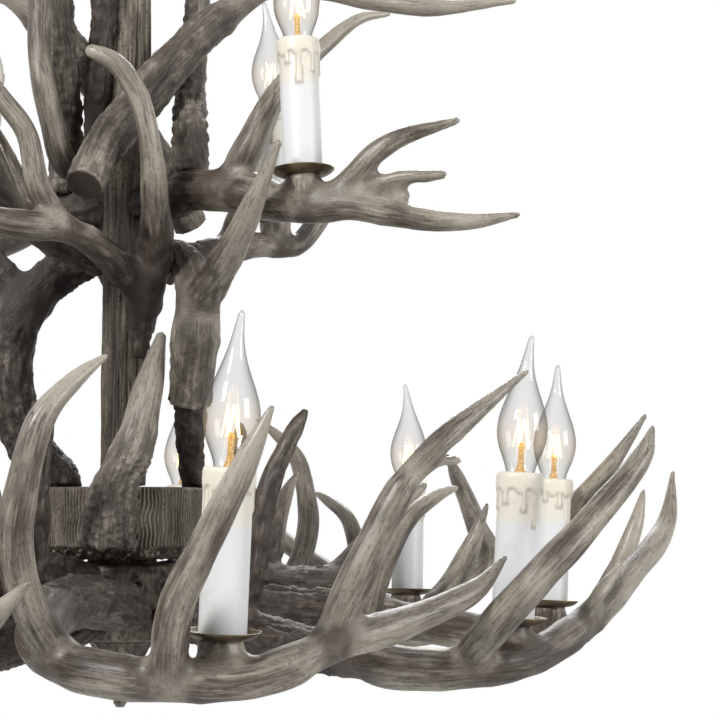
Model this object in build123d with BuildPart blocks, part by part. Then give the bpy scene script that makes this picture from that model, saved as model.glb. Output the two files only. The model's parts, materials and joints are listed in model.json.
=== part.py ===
"""Antler chandelier: thirteen candle lamps on cast antlers, hung by a short chain from a ceiling canopy.

Millimetres, +Z up.  The origin is the centre of the ceiling face of the mounting strap, so
the whole light hangs below Z = 0.  Nine antlers leave a hub and carry the lower ring of
candles; four arms leave the central column and carry the upper ring; a tangle of shorter
antlers stands round the column.

Every antler is a few limbs.  A limb is a list of stations (position and half thickness)
that are lofted straight from one eight-sided section to the next.
"""

import os
from math import cos, radians, sin

from build123d import *

# ---------------------------------------------------------------- driving sizes
seat_gap = 0.3  # clearance left between a cast piece and what it is screwed to

# ceiling end
strap_length = 104.0
strap_width = 20.0
strap_thick = 2.5
strap_hole_spacing = 88.0
strap_hole_diameter = 5.0
canopy_diameter = 128.0
canopy_height = 36.0
canopy_wall = 1.2
canopy_rim_height = 4.0
stud_diameter = 9.5
locknut_width = 17.0
locknut_height = 5.0
loop_collar_diameter = 29.0  # at the root of its thread
loop_collar_drop = 10.0
loop_collar_height = 14.0
ring_nut_diameter = 42.0
ring_nut_height = 6.0
thread_depth = 1.1
loop_wire = 5.0
loop_inner_radius = 9.0

# chain
chain_link_count = 3
chain_wire = 4.5
chain_inner_length = 36.0
chain_inner_width = 14.0
link_play = 0.3

# heights below the ceiling, and the column
column_top_drop = 300.0
column_height = 442.0
column_radius = 17.0
pipe_diameter = 13.2
pipe_above_column = 34.0
pipe_clearance = 0.3
pipe_nut_width = 26.0
pipe_nut_height = 5.0

# collar, neck, hub and tail, downwards from the foot of the column
collar_radius = 62.0
collar_height = 47.0
collar_edge = 2.0
collar_rim_height = 8.0
neck_radius = 26.0
neck_height = 4.0
hub_radius = 44.0
hub_height = 58.0
tail_height = 20.0
finial_height = 31.0
sawn_rise = 151.0  # of the saw cut between the sawn antler and its prop, above the hub's middle
spur_turn = 37.0  # from a fanning antler to the spur beside it
crown_turn = 165.0

# candle rings: radius, height of the seats above the middle of the hub, spacing
ring_radius = 337.0
ring_rise = -6.0
ring_count = 9
ring_first_bearing = -80.0
upper_ring_radius = 180.0
upper_ring_rise = 310.0
upper_first_bearing = -45.5
far_arm_lift = 10.0
lower_lean = 3.0
lower_sway = 1.5
upper_lean = -3.0

# one candle
boss_diameter = 29.0
boss_height = 22.0
pan_diameter = 46.0
pan_height = 5.0
pan_wall = 1.2
nipple_diameter = 9.8
nipple_length = 24.0
sleeve_diameter = 29.0
sleeve_wall = 1.8
sleeve_height = 101.0
drip_ring_diameter = 31.6
drip_ring_height = 9.0
drip_ring_drop = 15.0
holder_diameter = 22.0
holder_height = 92.0
bulb_cap_diameter = 13.6
bulb_cap_height = 19.0
bulb_cap_clearance = 0.15
bulb_neck_radius = 9.6
bulb_belly_radius = 18.0
bulb_height = 93.0

# ---------------------------------------------------------------- derived places
loop_rod_radius = loop_inner_radius + loop_wire / 2
chain_pitch = chain_inner_length - link_play
canopy_loop_z = -canopy_height - loop_collar_drop - loop_rod_radius
first_link_top = canopy_loop_z - loop_rod_radius + loop_wire / 2 + chain_wire / 2 + link_play
chain_foot = first_link_top - chain_link_count * chain_pitch
top_loop_z = chain_foot + loop_wire / 2 - chain_wire / 2 - loop_rod_radius
column_top = -column_top_drop
column_foot = column_top - column_height
collar_top = column_foot - seat_gap
pipe_bore = pipe_diameter / 2 + pipe_clearance
collar_foot = collar_top - collar_height - collar_rim_height
hub_top = collar_foot - neck_height
hub_middle = hub_top - hub_height / 2
hub_foot = hub_top - hub_height
tail_foot = hub_foot - tail_height
finial_foot = tail_foot - finial_height
pipe_top = column_top + pipe_above_column
lower_seat_z = hub_middle + ring_rise
upper_seat_z = hub_middle + upper_ring_rise
far_seat_z = upper_seat_z + far_arm_lift

os.makedirs("parts", exist_ok=True)


def save(part, name):
    """Label a finished piece and write it under its own name."""
    part.label = name
    export_step(part, f"parts/{name}.step")


# ---------------------------------------------------------------- antler tools
def add_limb(stations, sides=8):
    """Loft one tapered limb through (x, y, z, half thickness) stations into the open part."""
    centres = [Vector(x, y, z) for x, y, z, _ in stations]
    last = len(centres) - 1
    across = None
    sections = []
    for index, station in enumerate(stations):
        before = centres[max(index - 1, 0)]
        after = centres[min(index + 1, last)]
        along = (after - before).normalized()
        if across is None:
            across = along.cross(Vector(0.3, -0.2, 1)).normalized()
        across = (across - along * across.dot(along)).normalized()
        with BuildSketch(Plane(origin=centres[index], x_dir=across, z_dir=along)) as section:
            RegularPolygon(radius=station[3], side_count=sides)
        sections.append(section.sketch)
    loft(sections, ruled=True)


def from_hub(*stations):
    """Stations measured out from the hub's face and up from its middle."""
    return [(hub_radius + out, side, hub_middle + up, girth) for out, side, up, girth in stations]


def from_seat(*stations):
    """Stations measured out and up from a lower candle seat."""
    return [
        (ring_radius + out, side, lower_seat_z + up, girth) for out, side, up, girth in stations
    ]


def from_column(rise, *stations):
    """Stations measured out from the column's face, at a height above the hub's middle."""
    return [
        (column_radius + out, side, hub_middle + rise + up, girth)
        for out, side, up, girth in stations
    ]


def from_upper_seat(seat_z, *stations):
    """Stations measured out and up from an upper candle seat."""
    return [
        (upper_ring_radius + out, side, seat_z + up, girth) for out, side, up, girth in stations
    ]


def round_column(*stations):
    """Stations given as stand-off from the column, bearing in degrees and height over the hub."""
    placed = []
    for off, bearing, up, girth in stations:
        reach = column_radius + off
        angle = radians(bearing)
        placed.append((reach * cos(angle), reach * sin(angle), hub_middle + up, girth))
    return placed


def seat_plane(radius, seat_z, lean, sway=0.0):
    """The tilted plane of a candle seat on the +X side, leaning outwards by lean degrees."""
    tilt = Location((radius, 0, seat_z), (-sway, lean, 0))
    return Plane(tilt)


def candle_spots():
    """Every candle seat as a location, lower ring first."""
    spots = []
    for index in range(ring_count):
        bearing = ring_first_bearing + index * 360 / ring_count
        seat = seat_plane(ring_radius, lower_seat_z, lower_lean, lower_sway).location
        spots.append(Location((0, 0, 0), (0, 0, bearing)) * seat)
    for index in range(4):
        bearing = upper_first_bearing + index * 90
        seat_z = far_seat_z if index % 2 else upper_seat_z
        seat = seat_plane(upper_ring_radius, seat_z, upper_lean).location
        spots.append(Location((0, 0, 0), (0, 0, bearing)) * seat)
    return spots


def add_boss(plane):
    """The round pad under a drip pan, with the bore for its threaded nipple."""
    with BuildSketch(plane.offset(-boss_height)) as pad:
        Circle(boss_diameter / 2)
    extrude(pad.sketch, amount=boss_height - seat_gap)
    with BuildSketch(plane.offset(-nipple_length + pan_wall)) as bore:
        Circle(nipple_diameter / 2 + seat_gap / 2)
    extrude(bore.sketch, amount=nipple_length + 5, mode=Mode.SUBTRACT)


def cut_round(radius, low, high):
    """Cut the open part back to an upright cylinder that it is screwed against."""
    with BuildSketch(Plane.XY.offset(low)) as cut:
        Circle(radius + seat_gap)
    extrude(cut.sketch, amount=high - low, mode=Mode.SUBTRACT)


# ---------------------------------------------------------------- lower antlers
lower_plane = seat_plane(ring_radius, lower_seat_z, lower_lean, lower_sway)

with BuildPart() as sweeping_antler:
    add_limb(
        from_hub((-8, 0, -4, 13), (16, -6, -2, 16), (66, -40, 6, 18), (136, -72, 6, 17))
        + from_seat((-87, -94, -2, 15.5), (-32, -88, -14, 14), (-5, -60, -20, 13.5))
        + from_seat((6, -28, -23, 13), (9, 6, -23, 12.5), (8, 40, -15, 12.5), (2, 70, -3, 12))
        + from_seat((-7, 114, 7, 10.5), (-19, 164, 24, 7.5), (-32, 193, 46, 2))
    )
    add_limb(
        from_seat((-37, -88, -12, 12), (-19, -110, 20, 11), (-5, -120, 55, 10.5))
        + from_seat((8, -119, 85, 10), (13, -109, 126, 8), (8, -89, 150, 5.5), (3, -70, 165, 2))
    )
    add_limb(
        from_seat((7, -34, -20, 11.5), (31, -34, 22, 10.5), (51, -24, 52, 9.5))
        + from_seat((67, -4, 100, 7.5), (75, 10, 133, 2))
    )
    add_limb(
        from_seat((1, 62, -8, 11.5), (6, 86, 46, 10.5), (9, 110, 92, 9.5))
        + from_seat((9, 141, 123, 7.5), (-2, 196, 163, 2))
    )
    add_limb(from_seat((8, 118, 98, 6.5), (1, 136, 106, 5), (-7, 152, 106, 2)), sides=6)
    add_boss(lower_plane)
    cut_round(hub_radius, hub_foot, hub_top)


def reaching_form(beam_end):
    """An antler whose beam bends round under its candle and runs out to the given end."""
    with BuildPart() as form:
        add_limb(
            from_hub((-8, 0, -10, 13), (16, 0, -12, 16), (76, -2, -20, 16), (181, -24, -32, 15))
            + from_seat((-37, -50, -28, 14.5), (1, -22, -25, 13.5), (13, 24, -18, 12.5))
            + from_seat((19, 84, 2, 12))
            + beam_end
        )
        add_limb(
            from_seat((-15, -38, -22, 11.5), (41, -61, 25, 11), (65, -30, 62, 10))
            + from_seat((87, 10, 106, 7.5), (91, 27, 131, 2))
        )
        add_limb(
            from_seat((-105, -26, -26, 11), (-92, -24, 24, 9), (-82, -4, 66, 7))
            + from_seat((-75, 30, 86, 5), (-69, 50, 92, 2))
        )
        add_limb(from_seat((17, 66, -4, 8), (29, 76, 18, 6), (38, 94, 38, 2)), sides=6)
        add_limb(
            from_hub((68, -4, -18, 11), (80, 2, 34, 10), (88, 8, 86, 8.5))
            + from_hub((102, 22, 130, 6.5), (108, 28, 144, 3))
        )
        add_boss(lower_plane)
        cut_round(hub_radius, hub_foot, hub_top)
    return form


reaching_antler = reaching_form(from_seat((22, 146, 29, 10), (24, 208, 64, 8), (23, 228, 106, 2)))
short_antler = reaching_form(from_seat((20, 116, 10, 9), (23, 150, 36, 2)))

with BuildPart() as fanning_antler:
    add_limb(
        from_hub((-8, 0, -4, 13), (16, 6, -3, 16), (76, 30, -6, 16), (156, 42, -14, 16))
        + from_seat((-67, 40, -20, 15), (-19, 24, -28, 14), (5, 2, -26, 13), (27, -12, -14, 11))
        + from_seat((49, -24, 28, 9), (63, -26, 62, 7), (73, -20, 92, 2))
    )
    add_limb(
        from_seat((-25, 32, -24, 11), (1, 35, 28, 10), (25, 22, 74, 9.5))
        + from_seat((50, -6, 112, 7), (75, -22, 152, 2))
    )
    add_limb(from_seat((-97, 42, -10, 11), (-69, 70, 10, 10.5), (-47, 90, 40, 9), (-31, 86, 82, 2)))
    add_boss(lower_plane)
    cut_round(hub_radius, hub_foot, hub_top)

with BuildPart() as hub_spur_form:
    add_limb(
        from_hub((-8, 0, 20, 9), (14, -3, 24, 10), (36, -12, 26, 12.5), (76, -27, 14, 14))
        + from_hub((142, -32, 10, 15), (178, -36, 32, 13), (208, -42, 64, 10), (241, -54, 93, 3))
    )
    add_limb(
        from_hub((86, -24, 14, 9.5), (116, 0, 52, 8), (138, 12, 84, 6), (153, 14, 103, 2)),
        sides=6,
    )
    cut_round(hub_radius, hub_foot, hub_top)

lower_forms = [
    sweeping_antler, reaching_antler, fanning_antler, reaching_antler, sweeping_antler,
    fanning_antler, reaching_antler, fanning_antler, short_antler,
]
for index in range(ring_count):
    with BuildPart() as lower_antler:
        bearing = ring_first_bearing + index * 360 / ring_count
        add(lower_forms[index % len(lower_forms)].part, rotation=(0, 0, bearing))
    save(lower_antler.part, f"lower_antler_{index + 1}")

fanning_places = [place for place, form in enumerate(lower_forms) if form is fanning_antler]
for index, place in enumerate(fanning_places):
    with BuildPart() as hub_spur:
        bearing = ring_first_bearing + place * 360 / ring_count + spur_turn
        add(hub_spur_form.part, rotation=(0, 0, bearing))
    save(hub_spur.part, f"hub_spur_{index + 1}")

# ---------------------------------------------------------------- upper arms
with BuildPart() as broad_arm:
    add_limb(
        from_column(308, (-6, 0, 0, 12), (25, 0, 1, 17), (61, 0, 4, 16))
        + from_upper_seat(upper_seat_z, (-61, 0, -5, 17.5), (-27, -1, -16, 15), (2, 2, -23, 12.5))
        + from_upper_seat(upper_seat_z, (32, 9, -23, 12), (60, 25, -29, 10), (83, 40, -35, 8))
        + from_upper_seat(upper_seat_z, (112, 54, -37, 6), (140, 69, -33, 2.5))
    )
    add_limb(
        from_upper_seat(upper_seat_z, (16, 5, -16, 9), (34, 10, -6, 9), (64, 20, 20, 7.5))
        + from_upper_seat(upper_seat_z, (107, 42, 34, 2.5))
    )
    add_limb(from_upper_seat(upper_seat_z, (30, 10, -18, 8), (56, 24, -7, 7), (97, 39, -4, 3.5)))
    add_limb(from_upper_seat(upper_seat_z, (35, 14, -22, 8), (66, 36, -16, 6.5)), sides=6)
    add_limb(
        from_upper_seat(upper_seat_z, (-72, 0, 0, 14), (-52, 1, 30, 11), (-39, 15, 69, 8.5))
        + from_upper_seat(upper_seat_z, (-22, 47, 108, 6.5), (-5, 71, 133, 4.5), (9, 93, 140, 2))
    )
    add_boss(seat_plane(upper_ring_radius, upper_seat_z, upper_lean))
    cut_round(column_radius, column_foot, column_top)

with BuildPart() as rising_arm:
    add_limb(
        from_column(263, (-6, 0, 0, 12), (25, 0, 3, 14), (63, 0, 13, 14))
        + from_upper_seat(far_seat_z, (-60, 0, -32, 13), (-28, 0, -24, 12), (2, 0, -22, 11))
        + from_upper_seat(far_seat_z, (26, -5, -16, 10), (50, -12, 12, 9), (72, -21, 46, 8))
        + from_upper_seat(far_seat_z, (106, -34, 78, 6), (132, -42, 96, 2.5))
    )
    add_limb(
        from_upper_seat(far_seat_z, (-62, 0, -28, 11), (-50, -12, 16, 8.5))
        + from_upper_seat(far_seat_z, (-42, -20, 60, 6.5), (-30, -34, 98, 2)),
        sides=6,
    )
    add_boss(seat_plane(upper_ring_radius, far_seat_z, upper_lean))
    cut_round(column_radius, column_foot, column_top)

for index in range(4):
    with BuildPart() as upper_arm:
        arm_form = rising_arm if index % 2 else broad_arm
        add(arm_form.part, rotation=(0, 0, upper_first_bearing + index * 90))
    save(upper_arm.part, f"upper_arm_{index + 1}")

# ---------------------------------------------------------------- antlers round the column
with BuildPart() as fork_antler:
    add_limb(
        round_column((10, -63, 186, 5), (11, -64, 208, 9), (16.5, -63, 236, 16))
        + round_column((39, -67, 268, 13), (62, -75, 305, 10.5), (76, -80, 342, 8))
        + round_column((81, -86, 375, 8), (81, -96, 398, 7.5), (81, -107, 407, 5))
    )
    add_limb(
        round_column((17, -63, 236, 15), (31, -90, 249, 12.5), (60, -104, 262, 11))
        + round_column((91, -112, 271, 11), (121, -120, 271, 11.5), (147, -124, 271, 11))
        + round_column((190, -127, 276, 9), (239, -129, 294, 2.5))
    )
    add_limb(
        round_column((95, -113, 272, 11), (111, -119, 298, 9), (121, -121, 337, 8))
        + round_column((132, -127, 364, 7), (143, -134, 398, 2))
    )
    cut_round(column_radius, column_foot, column_top)
save(fork_antler.part, "fork_antler")

with BuildPart() as rear_antler:
    add_limb(
        round_column((2, 92, 150, 8), (16, 92, 200, 15), (36, 90, 250, 13), (50, 84, 300, 11))
        + round_column((56, 92, 350, 9), (50, 104, 400, 7), (40, 110, 440, 2.5))
    )
    add_limb(
        round_column((36, 90, 250, 11), (60, 100, 268, 10), (84, 104, 300, 8))
        + round_column((96, 100, 345, 5.5), (98, 96, 380, 2))
    )
    cut_round(column_radius, column_foot, column_top)
save(rear_antler.part, "rear_antler")

with BuildPart() as arched_antler:
    add_limb(
        round_column((40, 143, 84, 13), (43, 144, 96, 14.5), (63, 154, 118, 17))
        + round_column((77, 162, 166, 18), (73, 163, 213, 20), (49, 160, 248, 18))
        + round_column((24, 152, 264, 14), (0, 146, 272, 10))
    )
    add_limb(
        round_column((61, 162, 233, 15), (102, 160, 273, 12), (135, 157, 328, 9))
        + round_column((153, 152, 388, 2.5)),
        sides=6,
    )
    cut_round(column_radius, column_foot, column_top)
    split(bisect_by=Plane.XY.offset(column_foot + seat_gap), keep=Keep.TOP)
save(arched_antler.part, "arched_antler")

with BuildPart() as sawn_antler:
    add_limb(
        round_column((2, -14, 274, 9), (24, -23, 269, 11.5), (45, -36, 252, 14))
        + round_column((59, -45, 218, 18), (56.5, -45, 183, 17.5), (46, -39, 146, 17))
    )
    add_limb(
        round_column((61, -46, 223, 15), (91, -52, 242, 12.5), (113, -54, 259, 11))
        + round_column((143, -56, 288, 8.5), (173, -56, 329, 2.5))
    )
    cut_round(column_radius, column_foot, column_top)
    split(bisect_by=Plane.XY.offset(hub_middle + sawn_rise), keep=Keep.TOP)
save(sawn_antler.part, "sawn_antler")

with BuildPart() as prop_antler:
    add_limb(
        round_column((37, 4, 82, 9), (35, -4, 114, 9.5), (37, -22, 134, 11))
        + round_column((42, -32, 156, 12.5))
    )
    split(bisect_by=Plane.XY.offset(hub_middle + sawn_rise - seat_gap), keep=Keep.BOTTOM)
    split(bisect_by=Plane.XY.offset(column_foot), keep=Keep.TOP)
save(prop_antler.part, "prop_antler")

with BuildPart() as collar_antler:
    add_limb(
        round_column((53, -98, 43, 20), (53, -97, 68, 18.5), (49, -93, 93, 15.5))
        + round_column((43.5, -82, 120, 14.5), (37.5, -73, 153, 12), (32, -63, 180, 8.5))
        + round_column((30, -54, 203, 4))
    )
    cut_round(collar_radius, collar_foot, collar_top)
save(collar_antler.part, "collar_antler")

with BuildPart() as crown_antler:
    add_limb(
        round_column((78, -109, 307, 15), (49, -105, 341, 16), (17, -88, 373, 17))
        + round_column((20, -26, 417, 16), (44, -5, 450, 14.5), (71, 4, 477, 13))
        + round_column((96, 6, 508, 11), (110, 7, 548, 7), (115, 10, 583, 2.5))
    )
    add_limb(
        round_column((71, 3, 477, 11), (101, -4, 489, 9.5), (135, -10, 480, 8))
        + round_column((215, -15, 459, 7), (289, -17, 458, 2.5))
    )
    cut_round(column_radius, column_foot, column_top)
save(crown_antler.part, "crown_antler_1")

with BuildPart() as crown_antler_turned:
    add(crown_antler.part, rotation=(0, 0, crown_turn))
save(crown_antler_turned.part, "crown_antler_2")

with BuildPart() as twin_antler:
    add_limb(
        round_column((10, -149, 338, 9.5), (10, -149, 368, 10), (10, -147, 404, 9.8))
        + round_column((12, -135, 470, 9.5), (26, -142, 518, 8), (50, -153, 568, 2.5))
    )
    add_limb(
        round_column((10, -149, 348, 9.5), (35, -133, 330, 9.5), (60, -129, 332, 9.5))
        + round_column((75, -131, 381, 9.5), (76, -135, 417, 9), (73, -138, 460, 8))
        + round_column((76, -141, 517, 2.5))
    )
    cut_round(column_radius, column_foot, column_top)
save(twin_antler.part, "twin_antler")

with BuildPart() as standing_antler:
    add_limb(
        round_column((43, -39, 322, 15), (40, -32, 353, 13), (32, 0, 386, 12.5))
        + round_column((38.5, 23, 428, 11.5), (53, 35, 488, 9.5), (60, 37, 538, 2.5))
    )
    add(broad_arm.part, rotation=(0, 0, upper_first_bearing), mode=Mode.SUBTRACT)
save(standing_antler.part, "standing_antler_1")

with BuildPart() as standing_antler_turned:
    add(standing_antler.part, rotation=(0, 0, 180))
save(standing_antler_turned.part, "standing_antler_2")

# ---------------------------------------------------------------- column, collar, hub
with BuildPart() as column_sleeve:
    with BuildSketch(Plane.XY.offset(column_foot)):
        Circle(column_radius)
        Circle(pipe_bore, mode=Mode.SUBTRACT)
    extrude(amount=column_height)
save(column_sleeve.part, "column_sleeve")

with BuildPart() as collar:
    with BuildSketch(Plane.XY.offset(collar_top - collar_height)):
        Circle(collar_radius)
    extrude(amount=collar_height)
    collar_rims = collar.edges().filter_by(GeomType.CIRCLE).group_by(Axis.Z)
    chamfer(collar_rims[-1], collar_edge)
    with BuildSketch(Plane.XY.offset(collar_foot)):
        Circle(collar_radius * 0.7)
    with BuildSketch(Plane.XY.offset(collar_top - collar_height)):
        Circle(collar_radius * 0.92)
    loft()
    with BuildSketch(Plane.XY.offset(collar_foot)):
        Circle(pipe_bore)
    extrude(amount=collar_height + collar_rim_height, mode=Mode.SUBTRACT)
save(collar.part, "burr_collar")

with BuildPart() as hub:
    with BuildSketch(Plane.XY.offset(hub_foot)):
        Circle(hub_radius)
    extrude(amount=hub_height)
    with BuildSketch(Plane.XY.offset(hub_top)):
        Circle(neck_radius)
    extrude(amount=neck_height - seat_gap)
    with BuildSketch(Plane.XY.offset(hub_foot)):
        Circle(pipe_bore)
    extrude(amount=hub_height + neck_height, mode=Mode.SUBTRACT)
save(hub.part, "hub")

with BuildPart() as tail_cap:
    with BuildSketch(Plane.XY.offset(hub_foot - seat_gap)):
        Circle(hub_radius * 0.6)
    with BuildSketch(Plane.XY.offset(tail_foot)):
        Circle(hub_radius * 0.3)
    loft()
    with BuildSketch(Plane.XY.offset(tail_foot)):
        Circle(pipe_bore)
    extrude(amount=tail_height, mode=Mode.SUBTRACT)
save(tail_cap.part, "tail_cap")

with BuildPart() as finial:
    with BuildSketch(Plane.XZ):
        with BuildLine():
            Polyline(
                (0, tail_foot - seat_gap),
                (hub_radius * 0.22, tail_foot - seat_gap),
                (hub_radius * 0.12, tail_foot - finial_height * 0.5),
                (hub_radius * 0.06, finial_foot),
                (0, finial_foot),
                close=True,
            )
        make_face()
    revolve(axis=Axis.Z)
save(finial.part, "finial")

with BuildPart() as centre_pipe:
    with BuildSketch(Plane.XY.offset(tail_foot)):
        Circle(pipe_diameter / 2)
    extrude(amount=pipe_top - tail_foot)
save(centre_pipe.part, "centre_pipe")

with BuildPart() as pipe_locknut:
    with BuildSketch(Plane.XY.offset(column_top + seat_gap)):
        RegularPolygon(radius=pipe_nut_width / 2, side_count=6)
        Circle(pipe_diameter / 2 + seat_gap, mode=Mode.SUBTRACT)
    extrude(amount=pipe_nut_height)
save(pipe_locknut.part, "pipe_locknut")


# ---------------------------------------------------------------- loops and chain
def add_ring(height):
    """A round eye of loop wire, standing across the Y axis."""
    with BuildSketch(Plane.YZ) as rod:
        with Locations((0, height + loop_rod_radius)):
            RegularPolygon(radius=loop_wire / 2, side_count=8)
    revolve(rod.sketch, axis=Axis((0, 0, height), (0, 1, 0)))


with BuildPart() as top_loop:
    add_ring(top_loop_z)
    with BuildSketch(Plane.XY.offset(pipe_top + seat_gap)):
        Circle(pipe_diameter / 2 + loop_wire / 2)
    extrude(amount=top_loop_z - loop_rod_radius - pipe_top - seat_gap)
save(top_loop.part, "top_loop")

with BuildPart() as canopy_loop:
    add_ring(canopy_loop_z)
    with BuildSketch(Plane.XY.offset(canopy_loop_z + loop_rod_radius)):
        Circle(loop_collar_diameter / 2)
    extrude(amount=loop_collar_height)
    with BuildSketch(Plane.XY.offset(canopy_loop_z + loop_rod_radius)):
        Circle(stud_diameter / 2)
    extrude(amount=-canopy_loop_z - loop_rod_radius - seat_gap)
save(canopy_loop.part, "canopy_loop")

with BuildPart() as chain_link:
    straight = chain_inner_length - chain_inner_width
    bend = (chain_inner_width + chain_wire) / 2
    with BuildLine(Plane.XZ) as link_path:
        Line((bend, -straight / 2), (bend, straight / 2))
        RadiusArc((bend, straight / 2), (-bend, straight / 2), -bend)
        Line((-bend, straight / 2), (-bend, -straight / 2))
        RadiusArc((-bend, -straight / 2), (bend, -straight / 2), -bend)
    with BuildSketch(Plane(origin=(bend, 0, 0), x_dir=(1, 0, 0), z_dir=(0, 0, 1))):
        RegularPolygon(radius=chain_wire / 2, side_count=8)
    sweep(path=link_path.wires()[0])

for index in range(chain_link_count):
    with BuildPart() as placed_link:
        middle = first_link_top - index * chain_pitch - (chain_inner_length + chain_wire) / 2
        turn = 90 if index % 2 == 0 else 0
        with Locations(Location((0, 0, middle), (0, 0, turn))):
            add(chain_link.part)
    save(placed_link.part, f"chain_link_{index + 1}")


# ---------------------------------------------------------------- canopy and strap
def dome_profile(rim, foot):
    """Half section of a domed canopy, from the ceiling down to a flat floor."""
    shoulder = -canopy_rim_height - seat_gap
    floor = rim * 0.42
    with BuildSketch(Plane.XZ) as profile:
        with BuildLine():
            Polyline((0, foot), (0, -seat_gap), (rim, -seat_gap), (rim, shoulder))
            ThreePointArc((rim, shoulder), (rim * 0.8, foot * 0.72), (floor, foot))
            Line((floor, foot), (0, foot))
        make_face()
    return profile.sketch


with BuildPart() as canopy:
    revolve(dome_profile(canopy_diameter / 2, -canopy_height), axis=Axis.Z)
    inside = dome_profile(canopy_diameter / 2 - canopy_wall, -canopy_height + canopy_wall)
    revolve(inside, axis=Axis.Z, mode=Mode.SUBTRACT)
    with BuildSketch(Plane.XY.offset(-canopy_height)):
        Circle(loop_collar_diameter / 2 + seat_gap)
    extrude(amount=canopy_height, mode=Mode.SUBTRACT)
save(canopy.part, "canopy")

with BuildPart() as ring_nut:
    with BuildSketch(Plane.XY.offset(-canopy_height - seat_gap)):
        Circle(ring_nut_diameter / 2)
        Circle(loop_collar_diameter / 2 + thread_depth, mode=Mode.SUBTRACT)
    extrude(amount=-ring_nut_height)
    chamfer(ring_nut.edges().filter_by(GeomType.CIRCLE).group_by(Axis.Z)[0].sort_by(SortBy.RADIUS)[-1], 1.5)
save(ring_nut.part, "canopy_ring_nut")

with BuildPart() as ceiling_strap:
    with BuildSketch(Plane.XY):
        SlotOverall(strap_length, strap_width)
        Circle(stud_diameter / 2 + seat_gap, mode=Mode.SUBTRACT)
        with Locations((-strap_hole_spacing / 2, 0), (strap_hole_spacing / 2, 0)):
            Circle(strap_hole_diameter / 2, mode=Mode.SUBTRACT)
    extrude(amount=-strap_thick)
save(ceiling_strap.part, "ceiling_strap")

with BuildPart() as stud_locknut:
    with BuildSketch(Plane.XY.offset(-strap_thick - seat_gap)):
        RegularPolygon(radius=locknut_width / 2, side_count=6)
        Circle(stud_diameter / 2 + seat_gap, mode=Mode.SUBTRACT)
    extrude(amount=-locknut_height)
save(stud_locknut.part, "stud_locknut")

# ---------------------------------------------------------------- candle lamps
nipple_bore = nipple_diameter / 2 + seat_gap
socket_bore = bulb_cap_diameter / 2 + bulb_cap_clearance
sleeve_foot = pan_wall + seat_gap
holder_foot = pan_wall + seat_gap

with BuildPart() as pan_form:
    with BuildSketch(Plane.XZ):
        with BuildLine():
            Polyline(
                (nipple_bore, 0),
                (boss_diameter / 2, 0),
                (pan_diameter / 2, pan_height),
                (pan_diameter / 2 - pan_wall, pan_height),
                (boss_diameter / 2 + seat_gap, pan_wall),
                (nipple_bore, pan_wall),
                close=True,
            )
        make_face()
    revolve(axis=Axis.Z)

with BuildPart() as holder_form:
    with BuildSketch(Plane.XY.offset(pan_wall + seat_gap - nipple_length)):
        Circle(nipple_diameter / 2)
    extrude(amount=nipple_length)
    with BuildSketch(Plane.XY.offset(holder_foot)):
        RegularPolygon(radius=holder_diameter / 2, side_count=8)
    extrude(amount=holder_height - holder_foot)
    with BuildSketch(Plane.XY.offset(holder_height)):
        Circle(socket_bore)
    extrude(amount=-bulb_cap_height - seat_gap, mode=Mode.SUBTRACT)

with BuildPart() as sleeve_form:
    drip_top = sleeve_height - drip_ring_drop + drip_ring_height
    with BuildSketch(Plane.XZ):
        with BuildLine():
            Polyline(
                (sleeve_diameter / 2 - sleeve_wall, sleeve_foot),
                (sleeve_diameter / 2, sleeve_foot),
                (sleeve_diameter / 2, sleeve_height - drip_ring_drop),
                (drip_ring_diameter / 2, drip_top),
                (drip_ring_diameter / 2, sleeve_height),
                (sleeve_diameter / 2 - sleeve_wall, sleeve_height),
                close=True,
            )
        make_face()
    revolve(axis=Axis.Z)

bulb_foot = holder_height + seat_gap
bulb_top = sleeve_height + bulb_height
with BuildPart() as bulb_form:
    with BuildSketch(Plane.XY.offset(holder_height - bulb_cap_height)):
        Circle(bulb_cap_diameter / 2)
    extrude(amount=bulb_cap_height + seat_gap)
    belly = bulb_top - bulb_foot
    with BuildSketch(Plane.XY.offset(bulb_foot)):
        Circle(bulb_neck_radius)
    with BuildSketch(Plane.XY.offset(bulb_foot + belly * 0.17)):
        Circle(bulb_belly_radius * 0.66)
    with BuildSketch(Plane.XY.offset(bulb_foot + belly * 0.4)):
        Circle(bulb_belly_radius)
    with BuildSketch(Plane.XY.offset(bulb_foot + belly * 0.62)):
        Circle(bulb_belly_radius * 0.72)
    with BuildSketch(Plane(origin=(0.8, 0, bulb_foot + belly * 0.82))):
        Circle(bulb_belly_radius * 0.31)
    with BuildSketch(Plane(origin=(4.5, 0, bulb_top))):
        Circle(bulb_belly_radius * 0.07)
    loft(ruled=True)

for form, name in (
    (pan_form, "drip_pans"),
    (holder_form, "lampholders"),
    (sleeve_form, "candle_sleeves"),
):
    with BuildPart() as candle_set:
        with Locations(*candle_spots()):
            add(form.part)
    save(candle_set.part, name)

for index, spot in enumerate(candle_spots()):
    with BuildPart() as bulb:
        with Locations(spot):
            add(bulb_form.part)
    save(bulb.part, f"bulb_{index + 1}")
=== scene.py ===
"""Antler chandelier: the finished look of a two-tier light made of cast antlers.

The frame holds the solids of the light in metres with +Z up. This script grows a detailed
antler round the centre line of each plain one, dresses the column, collar and hub as bark,
turns the candle lamps, and hangs the whole from a forged chain in front of a pale studio.
"""

import json
import logging
import math
from dataclasses import dataclass, field
from enum import Enum
from functools import partial
from typing import Callable, Iterable, Optional, Sequence

import bpy
import numpy as np
from mathutils import Matrix, Vector, noise

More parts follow.
